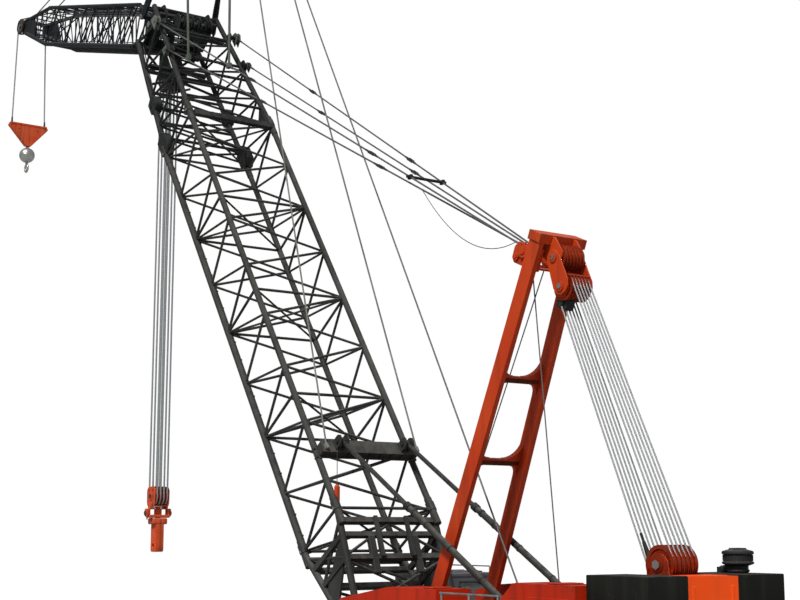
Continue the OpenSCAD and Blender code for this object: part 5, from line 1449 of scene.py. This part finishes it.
def buildJibLattice():
    bm = bmesh.new()
    half, deep = jib["width"] / 2, jib["depth"] / 2
    # joints of the sections
    for d in (jib["foot"], jib["joint"], jib["taper"]):
        crossRods(bm, (d, -half, -deep), (d, half, deep), 0.018)
        for n in (-deep, deep):
            addAxle(bm, d, n, half, 0.025, 8)
            for y in (-half, half):
                addRod(bm, (d - 0.09, y, n), (d + 0.09, y, n), 0.052)
    # rungs and braces of the tapered tip, then rungs of the foot
    for k in range(5):
        share = (k + 0.5) / 5
        d, wide, high = jibTaper(share)
        sectionFrame(bm, d, wide, high, 0.018)
        ahead, wideAhead, highAhead = jibTaper(min(share + 0.2, 1.0))
        for s in sides:
            addRod(bm, (d, s * wide / 2, -high / 2), (ahead, s * wideAhead / 2, highAhead / 2), 0.016, 8)
    for k in range(3):
        share = (k + 0.6) / 3
        sectionFrame(bm, jib["foot"] * share, jib["width"], between(0.16, jib["depth"], share), 0.02)
    # heavy belly and back chords, plated tip and a closer lacing
    for s in sides:
        y = s * half
        for t, radius in ((-1, 0.066), (1, 0.056)):
            n = t * deep
            addPipe(bm, [(1.25, y, n), (jib["joint"], y, n), (jib["taper"], y, n)], radius, 12)
            addPipe(bm, [(jib["taper"], y, n), (9.1, s * 0.417, t * 0.36), (10.38, s * 0.333, t * 0.17)],
                    radius, 12)
        addPlate(bm, [(8.95, -0.36), (10.4, -0.16), (10.5, 0.0), (10.4, 0.16), (9.5, 0.30), (9.2, 0.0)],
                 s * 0.375, 0.02, soft=0.004)
        for k in range(9):
            d = 1.25 + k * 0.73
            lean = deep if k % 2 else -deep
            addRod(bm, (d, y, -lean), (d + 0.73, y, lean), 0.022, 8)
            addRod(bm, (d, -y, s * deep), (d + 0.365, y, s * deep), 0.018, 8)
    finishPiece(bm, "jibJoints", "jibPaint", **onJib)
    # the dark ropes that lie in the jib
    bm = bmesh.new()
    for s in sides:
        for t in sides:
            path = ((0.6, 0.16, 0.25), (1.4, 0.2, 0.4), (7.6, 0.2, 0.4), (10.1, 0.16, 0.125))
            addPipe(bm, [(d, s * y, t * n) for d, y, n in path], 0.012)
    finishPiece(bm, "jibRopes", "ropeDark", **onJib)


def buildJibTip():
    wheel = sheaveShape(jib["tipRadius"], 0.06, 0.04, 0.035)
    wheels, shaft, guards = bmesh.new(), bmesh.new(), bmesh.new()
    d = jib["length"]
    addAxle(shaft, d, 0, 0.495, 0.035, 20)
    for s in sides:
        stamp(wheels, wheel, across((d, s * jib["tipY"], 0)))
        addPin(shaft, d, 0, s * 0.485, s * 0.505, 0.055, 6)
        addPlate(guards, [(10.15, -0.27), (10.45, -0.27), (10.66, -0.14), (10.69, 0.0), (10.62, 0.17),
                          (10.58, 0.16),
                          (10.64, 0.0), (10.61, -0.12), (10.43, -0.23), (10.17, -0.23)], s * jib["tipY"],
                 0.035)
    finishPiece(wheels, "jibTipSheaves", "wheelSteel", replaces=("jib_tip_sheaves",), **onJib)
    finishPiece(shaft, "jibTipShaft", "machinedSteel", **onJib)
    finishPiece(guards, "jibTipGuards", "jibPaint", **onJib)


def strutHalf(d):
    # half the distance between the strut's legs
    return between(1.0, 0.35, d / strut["length"])


def buildStrut():
    bm = bmesh.new()
    long = strut["length"]
    spots = [long * q for q in (0.18, 0.4, 0.62, 0.84)]
    for a, b in zip(spots, spots[1:]):
        crossRods(bm, (a, -strutHalf(a), 0), (b, strutHalf(b), 0), 0.022)
    for s in sides:
        addPlate(bm, [(long - 0.3, -0.07), (long + 0.03, -0.07), (long + 0.045, 0.0), (long + 0.03, 0.07),
                      (long - 0.3, 0.07)],
                 s * 0.36, 0.012)
        addRod(bm, (-0.02, s * 0.99, 0), (0.22, s * 0.97, 0), 0.075, 16)
        for vert in addPlate(bm, [(0.05, -0.13), (0.55, -0.13), (1.35, -0.06), (1.35, 0.06), (0.55, 0.13),
                                  (0.05, 0.13)],
                             0, 0.03, soft=0.006):
            vert.co.y += s * strutHalf(vert.co.x)
    finishPiece(bm, "strutBracing", "jibPaint", "boom", place=strutFrame)


buildJibLattice()
buildJibTip()
buildStrut()
print("jib done")

# Mast
footHalf, topHalf = ((mast[key] - mast["legWide"]) / 2 for key in ("foot", "head"))
crossbars = [mast["length"] * share for share in (0.481, 0.671)]
yoke = (mast["length"] - 0.423, -0.367)


def legMiddle(d):
    return between(footHalf, topHalf, d / mast["length"]) + 0.045


def addGusset(bm, d, way, size, side):
    # a level plate in the corner of crossbar and leg, with a curved edge
    wall = legMiddle(d) - mast["slim"]
    curve = [math.radians(q) for q in range(0, 91, 10)]
    arc = [(d + way * (0.06 + size * (1 - math.sin(q))), side * (wall - size * (1 - math.cos(q))))
           for q in curve]
    start = arc[0][0]
    arc += [(d + way * 0.04, arc[-1][1]), (d + way * 0.04, side * (wall + 0.03)),
            (start, side * (legMiddle(start) - mast["slim"] + 0.03))]
    extruded(bm, [bm.verts.new((x, y, -0.135)) for x, y in arc], (0, 0, 0.10))


def buildMast():
    # slim box legs, crossbars with curved gussets, the head beam and the anchor box
    bm, dark, pins = bmesh.new(), bmesh.new(), bmesh.new()
    long, deep, half = mast["length"], mast["legDeep"] / 2, mast["slim"]
    bolt = boltShape(0.018, 0.02)
    for s in sides:
        for vert in addBlock(bm, (0, -half, -deep), (long - 0.02, half, deep), soft=0.006):
            vert.co.y += s * legMiddle(vert.co.x)
        # foot eye, with its boss and stiffening plates
        y = s * footHalf
        addPin(bm, 0, 0, y - 0.12, y + 0.12, deep + 0.022, 40)
        addPin(pins, 0, 0, y - 0.15, y + 0.15, 0.062, 28)
        addPlate(bm, [(0.05, -0.14), (0.7, -0.125), (0.95, 0.0), (0.7, 0.125), (0.05, 0.14)], y + 0.0075,
                 0.0975, soft=0.012)
        for d in crossbars:
            addGusset(bm, d, 1, 0.36, s)
            addGusset(bm, d, -1, 0.18, s)
        cheek = [(-0.32, -0.10), (-0.02, -0.10), (-0.02, 0.21), (-0.19, 0.48), (-0.46, 0.48), (-0.50, 0.23)]
        addPlate(bm, [(long + d, n) for d, n in cheek], s * 0.2309, 0.015, soft=0.004)
        box = [(-0.67, -0.10), (-0.26, -0.10), (-0.30, -0.56), (-0.40, -0.64), (-0.60, -0.64), (-0.67, -0.56)]
        addPlate(bm, [(long + d, n) for d, n in box], s * 0.32, 0.02, soft=0.006)
        # bosses round the anchor pins, with a ring of bolts
        for x, z, radius in (yoke + (0.115,), (long - 0.56, -0.52, 0.07)):
            addPin(bm, x, z, s * 0.335, s * 0.375, radius, 28)
            addPin(bm, x, z, s * 0.37, s * 0.39, radius * 0.55, 6)
        stampRing(bm, bolt, (yoke[0], s * 0.338, yoke[1]), 0.15, 8, face=s)
        # diaphragm plates between box and leg
        addBlock(bm, (long - 0.66, s * 0.30, -0.12), (long - 0.27, s * 0.46, 0.10), soft=0.008)
    # a thin orange plate on the upper face of each crossbar, and under it the bar itself in dark brown,
    # painted shade
    for d in crossbars:
        wall = legMiddle(d)
        addBlock(bm, (d + 0.028, -wall, -0.13), (d + 0.055, wall, -0.036), soft=0.006)
        addBlock(dark, (d - 0.055, half - wall, -0.128), (d + 0.03, wall - half, -0.036), soft=0.008)
    for low, high, soft in (((-0.16, -0.505, -0.15), (0, 0.505, 0.15), 0.01),
                            ((-0.166, -0.51, -0.162), (0, 0.51, -0.146), 0.003),
                            ((-0.166, -0.51, 0.138), (0, 0.51, 0.154), 0.003),
                            ((-0.60, -0.31, -0.635), (-0.40, 0.31, -0.615), 0.004),
                            ((-0.67, -0.31, -0.55), (-0.65, 0.31, -0.12), 0.004)):
        addBlock(bm, (long + low[0],) + low[1:], (long + high[0],) + high[1:], soft)
    addAxle(bm, *yoke, 0.36, 0.05, 24)
    finishPiece(dark, "mastCrossbarsPaintedShade", "shadeBrown", **onMast)
    finishPiece(bm, "mastFrameWork", "craneOrange", replaces=("mast",), **onMast)
    finishPiece(pins, "mastFootPins", "machinedSteel", **onMast)


cluster = {"upper": (7.57, 0.33), "lower": (7.17, 0.68), "radius": 0.23, "pitch": 0.072, "count": 6}
clusters = (cluster["upper"], cluster["lower"])


def buildMastSheaves():
    pitch = cluster["pitch"]
    shape = sheaveShape(cluster["radius"], pitch * 0.97, 0.04, 0.045)
    cheek = 2.86 * pitch + 0.025
    link = cheek + 0.035
    wheels, bm, pins = bmesh.new(), bmesh.new(), bmesh.new()
    outline = [(-0.20, 0.25), (-0.21, 0.35), (-0.26, 0.46), (-0.42, 0.64), (-0.56, 0.80), (-0.66, 0.85),
               (-0.77, 0.83),
               (-0.86, 0.75), (-0.88, 0.64), (-0.82, 0.53), (-0.64, 0.37), (-0.46, 0.22), (-0.36, 0.17),
               (-0.27, 0.18)]
    inner = [(-0.2, -0.05), (-0.14, 0.12), (0.02, 0.16), (0.16, 0.06), (0.12, -0.12), (-0.08, -0.16)]
    for d, n in clusters:
        for i in range(cluster["count"]):
            stamp(wheels, shape, across((d, (i - 2.5) * pitch, n)))
        addAxle(pins, d, n, link + 0.02, 0.045, 28)
        for s in sides:
            addPin(bm, d, n, s * (link + 0.01), s * (link + 0.035), 0.085, 28)
            addPin(pins, d, n, s * (link + 0.03), s * (link + 0.05), 0.05, 6)
    d, n = cluster["lower"]
    for s in sides:
        addPlate(bm, [(mast["length"] + p, q) for p, q in outline], s * link, 0.012, soft=0.005)
        # inner cheeks of the lower cluster
        addPlate(bm, [(d + p, n + q) for p, q in inner], s * (cheek - 0.01), 0.008, soft=0.003)
    # bars that keep the ropes in their grooves
    for (d, n), turn in ((cluster["upper"], 150), (cluster["lower"], 200), (cluster["lower"], 20)):
        turn = math.radians(turn)
        addAxle(bm, d + 0.245 * math.cos(turn), n + 0.245 * math.sin(turn), cheek, 0.011, 8)
    finishPiece(wheels, "mastSheaves", "wornOrange", replaces=("mast_sheaves",), **onMast)
    finishPiece(bm, "mastLinks", "craneOrange", **onMast)
    bm = bmesh.new()
    addBlock(bm, (6.80, -0.02, 0.56), (6.98, 0.16, 0.82), soft=0.02, steps=2)
    addPin(bm, 6.89, 0.69, -0.06, 0.20, 0.06, 16)
    addPlate(bm, [(6.86, 0.62), (6.86, 0.76), (7.10, 0.72), (7.10, 0.64)], 0.06, 0.02)
    finishPiece(bm, "mastBecket", "headBlack", **onMast)
    finishPiece(pins, "mastShafts", "machinedSteel", **onMast)


def arcPoints(centre, radius, start, sweep, y, steps=14):
    # points on a circle in the side view, angles from +x towards +z
    angles = [start + sweep * k / steps for k in range(steps + 1)]
    return [Vector((centre[0] + radius * math.cos(q), y, centre[2] + radius * math.sin(q))) for q in angles]


def tangentAngle(a, b, ra, rb, side):
    way, gap = math.atan2(b[2] - a[2], b[0] - a[0]), math.hypot(b[2] - a[2], b[0] - a[0])
    return way - side * math.acos((ra - rb) / gap)


# radii of the ropes, and how far the rim of a sheave stands above the bottom of its groove
rope = {"radius": 0.014, "falls": 0.023, "jib": 0.022, "whip": 0.016, "line": 0.011, "slack": 0.008,
        "groove": 0.0397}


def addStraight(name, radius, count, start, end):
    # a rope with rings at its ends only, so it stays straight when the bodies part
    bm = bmesh.new()
    addPipe(bm, [start, end], radius, count)
    piece = finishPiece(bm, name, "ropeDark", None, crease=60)
    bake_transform(piece)


def buildHoistRopes():
    # the reeving between the tail and the mast, wrapped on both clusters
    a = Vector(gantry["shaft"])
    b = mastFrame @ Vector((cluster["lower"][0], 0, cluster["lower"][1]))
    ra, rb = (wheel["radius"] + rope["radius"] - rope["groove"] for wheel in (gantry, cluster))
    bm = bmesh.new()
    front, back = tangentAngle(a, b, ra, rb, 1), tangentAngle(a, b, ra, rb, -1)
    for lane in [i - 2.5 for i in range(cluster["count"])]:
        low = arcPoints(a, ra, back, (front - back) % (-2 * math.pi), lane * gantry["pitch"])
        top = arcPoints(b, rb, front, (back - front) % (2 * math.pi), lane * cluster["pitch"])
        # no ring lies between the two wraps, so the falls stay straight at every pose
        addPipe(bm, low + top + low[:1], rope["radius"])
    piece = finishPiece(bm, "mastReeving", "ropeBright", None, replaces=("hoist_ropes",), crease=60)
    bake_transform(piece)
    # the socket that holds the dead end of the rope
    y = 1.5 * gantry["pitch"]
    foot, top = (arcPoints(centre, radius, front, 0, y)[0] for centre, radius in ((a, ra), (b, rb)))
    rise = (top - foot).normalized()
    bm = bmesh.new()
    addRod(bm, foot + rise * 0.12, foot + rise * 0.48, 0.05, 14, endRadius=0.028)
    addRod(bm, foot + rise * 0.46, foot + rise * 0.62, 0.022, 10)
    finishPiece(bm, "deadEnd", "headBlack")


falls = {"drop": 10.57, "jibDrop": 3.099, "jibY": 0.53}
fallsTop = boomFrame @ Vector((head["falls"][0], 0, head["falls"][1]))


def buildFalls():
    # main falls with their turns on the head and block sheaves
    low = fallsTop - Vector((0, 0, falls["drop"]))
    r = head["radius"] + rope["falls"] - rope["groove"]
    bm, turns = bmesh.new(), bmesh.new()
    for y in fallLanes:
        near, far = (Vector((low.x + s * r, y, fallsTop.z)) for s in sides)
        addPipe(bm, [near] + arcPoints(low, r, math.pi, math.pi, y) + [far], rope["falls"])
        addPipe(turns, arcPoints(fallsTop, r, 0.0, math.pi, y), rope["falls"])
    finishPiece(bm, "mainFalls", "ropeBright", "main_block", replaces=("main_falls",), crease=60)
    finishPiece(turns, "headRopeTurns", "ropeBright", "boom", crease=60)
    # jib falls, and the rope that runs over the tip sheaves and back along the jib
    tip = jibFrame @ Vector((jib["length"], 0, 0))
    inner = jibFrame @ Vector((8.2, 0, 0.44))
    r = jib["tipRadius"] + rope["jib"] - rope["groove"]
    bm, back = bmesh.new(), bmesh.new()
    for s in sides:
        y = s * jib["tipY"]
        addPipe(bm, [(tip.x + r, s * falls["jibY"], tip.z - falls["jibDrop"]), (tip.x + r, y, tip.z)],
                rope["jib"])
        bend = arcPoints(tip, r, 0.0, math.radians(100), y, 8)
        goal = Vector((inner.x, s * 0.3, inner.z))
        foot = [jibFrame @ Vector(place) for place in ((1.3, s * 0.3, 0.45), (-0.2, s * 0.2, 0.2))]
        addPipe(back, bend + [bend[-1].lerp(goal, 0.5), goal] + foot, rope["jib"])
    finishPiece(bm, "jibFalls", "ropeBright", "jib_block", replaces=("jib_falls",), crease=60)
    finishPiece(back, "jibHoistRopes", "ropeDark", "boom", crease=60)


def buildDeckRopes():
    # the whip line from a deck drum to the jib strut
    start, end = Vector((-1.9, -0.1, 2.6)), strutFrame @ Vector((strut["length"] - 0.1, 0, 0.16))
    addStraight("whipLine", rope["whip"], 8, start, end)
    # a control line from the mast to the deck, and a cable between its legs
    start, end = Vector((-3.15, 0.42, 2.62)), mastFrame @ Vector((7.24, 0.13, -0.3))
    addStraight("mastLine", rope["line"], 6, start, end)
    bm = bmesh.new()
    addPipe(bm, [(7.25, -0.03, -0.17), (0.35, 0.487, -0.17)], rope["line"], 6)
    addBlock(bm, (0.31, 0.475, -0.185), (0.39, 0.61, -0.140), soft=0.006)
    finishPiece(bm, "mastCable", "ropeDark", crease=60, **onMast)
    # a small red overload weight on the near stay
    bm, line = bmesh.new(), bmesh.new()
    hang = boomFrame @ Vector((3.25, 1.02, 0.84))
    addRod(bm, hang, hang + Vector((0, 0, -0.34)), 0.055, 16)
    addRod(bm, hang + Vector((0, 0, 0.05)), hang, 0.02, 10, endRadius=0.055)
    addRod(line, hang, hang + Vector((0, 0, 0.7)), 0.008, 6)
    finishPiece(bm, "overloadWeight", "craneOrange", "boom")
    finishPiece(line, "overloadLine", "ropeDark", "boom")


def buildSlackLine():
    # a slack line hung under the lower pendants
    first = boomFrame @ Vector((pendant["lower"][0], pendant["anchorY"], pendant["lower"][1]))
    last = mastFrame @ Vector((pendant["yoke"][0], pendant["lowerY"], pendant["yoke"][1]))
    low, high = first.lerp(last, 0.76), first.lerp(last, 0.96)
    points = [low.lerp(high, q) - Vector((0, 0, 2 * q * (1 - q))) for q in [k / 16 for k in range(17)]]
    bm = bmesh.new()
    addPipe(bm, points, rope["slack"], 6)
    piece = finishPiece(bm, "slackLine", "ropeDark", "pendants_lower", crease=60)


def buildStrutStops():
    # telescopic stops between the boom and the strut
    bm = bmesh.new()
    for s in sides:
        foot = boomFrame @ Vector((16.3, s * 0.56, 0.72))
        cap = strutFrame @ Vector((3.2, s * 0.62, -0.08))
        addRod(bm, foot, foot.lerp(cap, 0.55), 0.032)
        addRod(bm, foot.lerp(cap, 0.5), cap, 0.022)
        addBox(bm, foot, (0.07, 0.05, 0.07), soft=0.01)
    finishPiece(bm, "strutStops", "blockGrey", "boom")


buildMast()
buildMastSheaves()
buildHoistRopes()
buildFalls()
buildDeckRopes()
buildSlackLine()
buildStrutStops()
print("mast and ropes done")

# Blocks and hooks
block = {"z": 5.21995, "cheek": 0.1894, "low": -0.53, "high": -0.3, "eye": -1.215, "eyeHalf": 0.11,
         "hole": 0.06}
blockFrame = spot(fallsTop.x, 0, block["z"])
onBlock = {"body": "main_block", "place": blockFrame}


def buildMainBlock():
    shape = sheaveShape(head["radius"], head["pitch"] * 0.8, 0.04, 0.06)
    bm = bmesh.new()
    for y in fallLanes:
        stamp(bm, shape, across((0, y, 0)))
    finishPiece(bm, "blockSheaves", "wornOrange", replaces=("main_block",), **onBlock)
    bm, pins = bmesh.new(), bmesh.new()
    low, high, cheek = block["low"], block["high"], block["cheek"]
    half = [(0.13, 0.23), (0.19, 0.18), (0.22, 0.12), (0.21, -0.18), (0.13, -0.30), (0.11, -0.315)]
    outline = half + [(-x, z) for x, z in reversed(half)]
    for s in sides:
        addPlate(bm, outline, s * cheek, 0.014, soft=0.005)
        # weights bolted to the cheeks, and the hub plate
        addPin(bm, 0, 0, s * (cheek + 0.012), s * (cheek + 0.032), 0.10, 28)
        addPlate(bm, [(-0.15, -0.16), (0.15, -0.16), (0.10, -0.29), (-0.10, -0.29)], s * (cheek + 0.021),
                 0.009, soft=0.004)
        addPin(pins, 0, -0.415, s * 0.325, s * 0.352, 0.055, 24)
        for x in (-0.1, 0.1):
            addPin(pins, x, 0.15, s * 0.20, s * 0.215, 0.018, 6)
            addPin(pins, x, -0.22, s * 0.20, s * 0.225, 0.018, 6)
        # ears of the trunnion, tie bars, and drain plugs under the block
        addBlock(bm, (-0.075, s * 0.225, -0.50), (0.075, s * 0.33, high - 0.005), soft=0.022, steps=2)
        addAxle(bm, -0.16 * s, 0.17, 0.175, 0.014, 10)
        addAxle(bm, -0.13 * s, -0.235, 0.175, 0.014, 10)
        addRod(pins, (s * 0.11, 0.235, low - 0.045), (s * 0.11, 0.235, low + 0.005), 0.014, 10)
    # the trunnion's middle column and bar
    addBlock(bm, (-0.06, -0.08, low + 0.02), (0.06, 0.08, high), soft=0.012, steps=2)
    addBlock(bm, (-0.13, -0.27, low), (0.13, 0.27, -0.455), soft=0.02, steps=2)
    addBlock(bm, (-0.06, -0.25, -0.325), (0.06, 0.25, -0.30), soft=0.006)
    addAxle(pins, 0, 0, 0.235, 0.055, 28)
    finishPiece(bm, "blockCheeks", "blockOrange", **onBlock)
    finishPiece(pins, "blockPins", "wheelSteel", **onBlock)


def eyeShape():
    # a thick plate with a hole and rounded rims
    low, eye, half = block["low"], block["eye"], block["eyeHalf"]
    outer = [(0.14, low - 0.14), (0.145, low - 0.24), (0.145, eye + 0.10), (0.145, eye + 0.02),
             (0.145, eye - 0.09),
             (0.12, eye - 0.135), (0.08, eye - 0.144)]
    outline = outer + [(-x, z) for x, z in reversed(outer)]
    turns = [math.radians(q) for q in range(0, 360, 20)]
    hole = [(block["hole"] * math.cos(q), eye + block["hole"] * math.sin(q)) for q in turns]
    bm = bmesh.new()
    edges = []
    for line in (outline, hole):
        verts = [bm.verts.new((x, -half, z)) for x, z in line]
        edges += [bm.edges.new(pair) for pair in zip(verts, verts[1:] + verts[:1])]
    bmesh.ops.triangle_fill(bm, edges=edges, use_beauty=True)
    made = bmesh.ops.extrude_face_region(bm, geom=list(bm.faces))["geom"]
    bmesh.ops.translate(bm, vec=(0, 2 * half, 0),
                        verts=[v for v in made if isinstance(v, bmesh.types.BMVert)])
    rims = [edge for edge in bm.edges if len(edge.link_faces) == 2 and edge.calc_face_angle(0) > 1.2
            and abs(edge.verts[0].co.y - edge.verts[1].co.y) < 0.001]
    bmesh.ops.bevel(bm, geom=rims, offset=0.014, segments=2, profile=0.5, affect="EDGES", material=-1,
                    clamp_overlap=True)
    return takeShape(bm)


def buildMainHook():
    # shank, nut and the eye of the hook
    bm = bmesh.new()
    low = block["low"]
    bm.from_mesh(eyeShape())
    stamp(bm, lathe([(0.0, low - 0.09), (0.06, low - 0.09), (0.06, -0.29), (0.09, -0.288), (0.095, -0.28),
                     (0.095, -0.262),
                     (0.085, -0.255), (0.0, -0.255)], 36), world)
    addBlock(bm, (-0.15, -0.20, low - 0.16), (0.15, 0.20, low - 0.006), soft=0.035, steps=3)
    collar = lathe([(0.061, 0.0), (0.09, 0.0), (0.085, 0.004), (0.062, 0.004)], 32, closed=True)
    for s in sides:
        stamp(bm, collar, spot(0, s * block["eyeHalf"], block["eye"]) @ outward(s))
    finishPiece(bm, "hookEye", "blockOrange", "main_hook", place=blockFrame, replaces=("main_hook",))


def buildBlockBolts():
    bm = bmesh.new()
    stampRing(bm, boltShape(0.016, 0.014), (0, 0, -0.3), 0.12, 6, phase=0.5)
    for q in range(5):
        addBlock(bm, (-0.005, -0.345, -0.5 + q * 0.03), (0.005, -0.332, -0.49 + q * 0.03))
    finishPiece(bm, "blockBolts", "wheelSteel", **onBlock)


small = {"at": (22.4557, 0, 17.0936), "high": 0.72, "half": 0.06, "ball": -1.01, "ballRadius": 0.24,
         "eye": -1.43}
onSmall = {"body": "jib_block", "place": spot(*small["at"])}


def buildJibBlock():
    bm, pins, sockets = bmesh.new(), bmesh.new(), bmesh.new()
    low, fall = -small["high"], falls["jibY"]
    addPlate(bm, [(-0.64, -0.11), (-0.59, 0.0), (0.59, 0.0), (0.64, -0.11), (0.09, low), (-0.09, low)],
             0, small["half"], soft=0.006)
    bm.transform(turned(math.pi / 2, "Z"))
    for s in sides:
        addBlock(bm, (s * 0.062 - 0.008, -0.58, -0.06), (s * 0.062 + 0.008, 0.58, -0.006), soft=0.003)
        # clevis plates, ribs and pins that take the two falls
        for e in sides:
            addBox(bm, (e * 0.058, s * fall, -0.052), (0.008, 0.06, 0.048), soft=0.004)
            rib = [(0.60, -0.118), (0.56, -0.108), (0.075, low + 0.05), (0.10, low + 0.03)]
            extruded(bm, [bm.verts.new((e * 0.056, s * y, z)) for y, z in rib], (e * 0.012, 0, 0))
        addRod(pins, (-0.066, s * fall, -0.06), (0.066, s * fall, -0.06), 0.028, 16)
        addRod(pins, (-0.062, s * 0.30, -0.20), (0.062, s * 0.30, -0.20), 0.022)
        addPlate(sockets, [(-0.035, -0.004), (0.035, -0.004), (0.022, 0.16), (-0.022, 0.16)], s * fall,
                 0.022, soft=0.006)
    addRod(pins, (0, 0, low - 0.03), (0, 0, low + 0.005), 0.055, 6)
    finishPiece(bm, "smallBlock", "blockOrange", replaces=("jib_block",), **onSmall)
    finishPiece(pins, "smallBlockPins", "wheelSteel", **onSmall)
    finishPiece(sockets, "fallSockets", "wheelSteel", **onSmall)


def buildBallHook():
    # ball, swivel stem and eye
    bm = bmesh.new()
    low, ball, eye, radius = -small["high"], small["ball"], small["eye"], small["ballRadius"]
    under, over = ([(radius * math.cos(math.radians(q)), ball + radius * math.sin(math.radians(q)))
                    for q in turns]
                   for turns in (range(-80, -3, 8), range(8, 81, 8)))
    belt = [(radius, ball - 0.012), (radius - 0.006, ball), (radius, ball + 0.012)]
    neck = [(0.046, ball + 0.245), (0.046, ball + 0.27), (0.028, ball + 0.275), (0.028, low + 0.05),
            (0.0, low + 0.05)]
    stem = [(0.0, eye + 0.11), (0.036, eye + 0.11), (0.042, eye + 0.125), (0.042, ball - 0.22),
            (0.0, ball - 0.22)]
    stamp(bm, lathe([(0.0, ball - radius)] + under + belt + over + neck), world)
    stamp(bm, lathe(stem, 28), world)
    turns = [k * math.pi / 8 for k in range(16)]
    stamp(bm, lathe([(0.112 + 0.035 * math.cos(a), 0.033 * math.sin(a)) for a in turns], 40, closed=True),
          across((0, 0, eye)))
    finishPiece(bm, "hookBall", "ballSteel", "ball_hook", place=spot(*small["at"]), replaces=("ball_hook",))


buildMainBlock()
buildMainHook()
buildBlockBolts()
buildJibBlock()
buildBallHook()
print("blocks and hooks done")
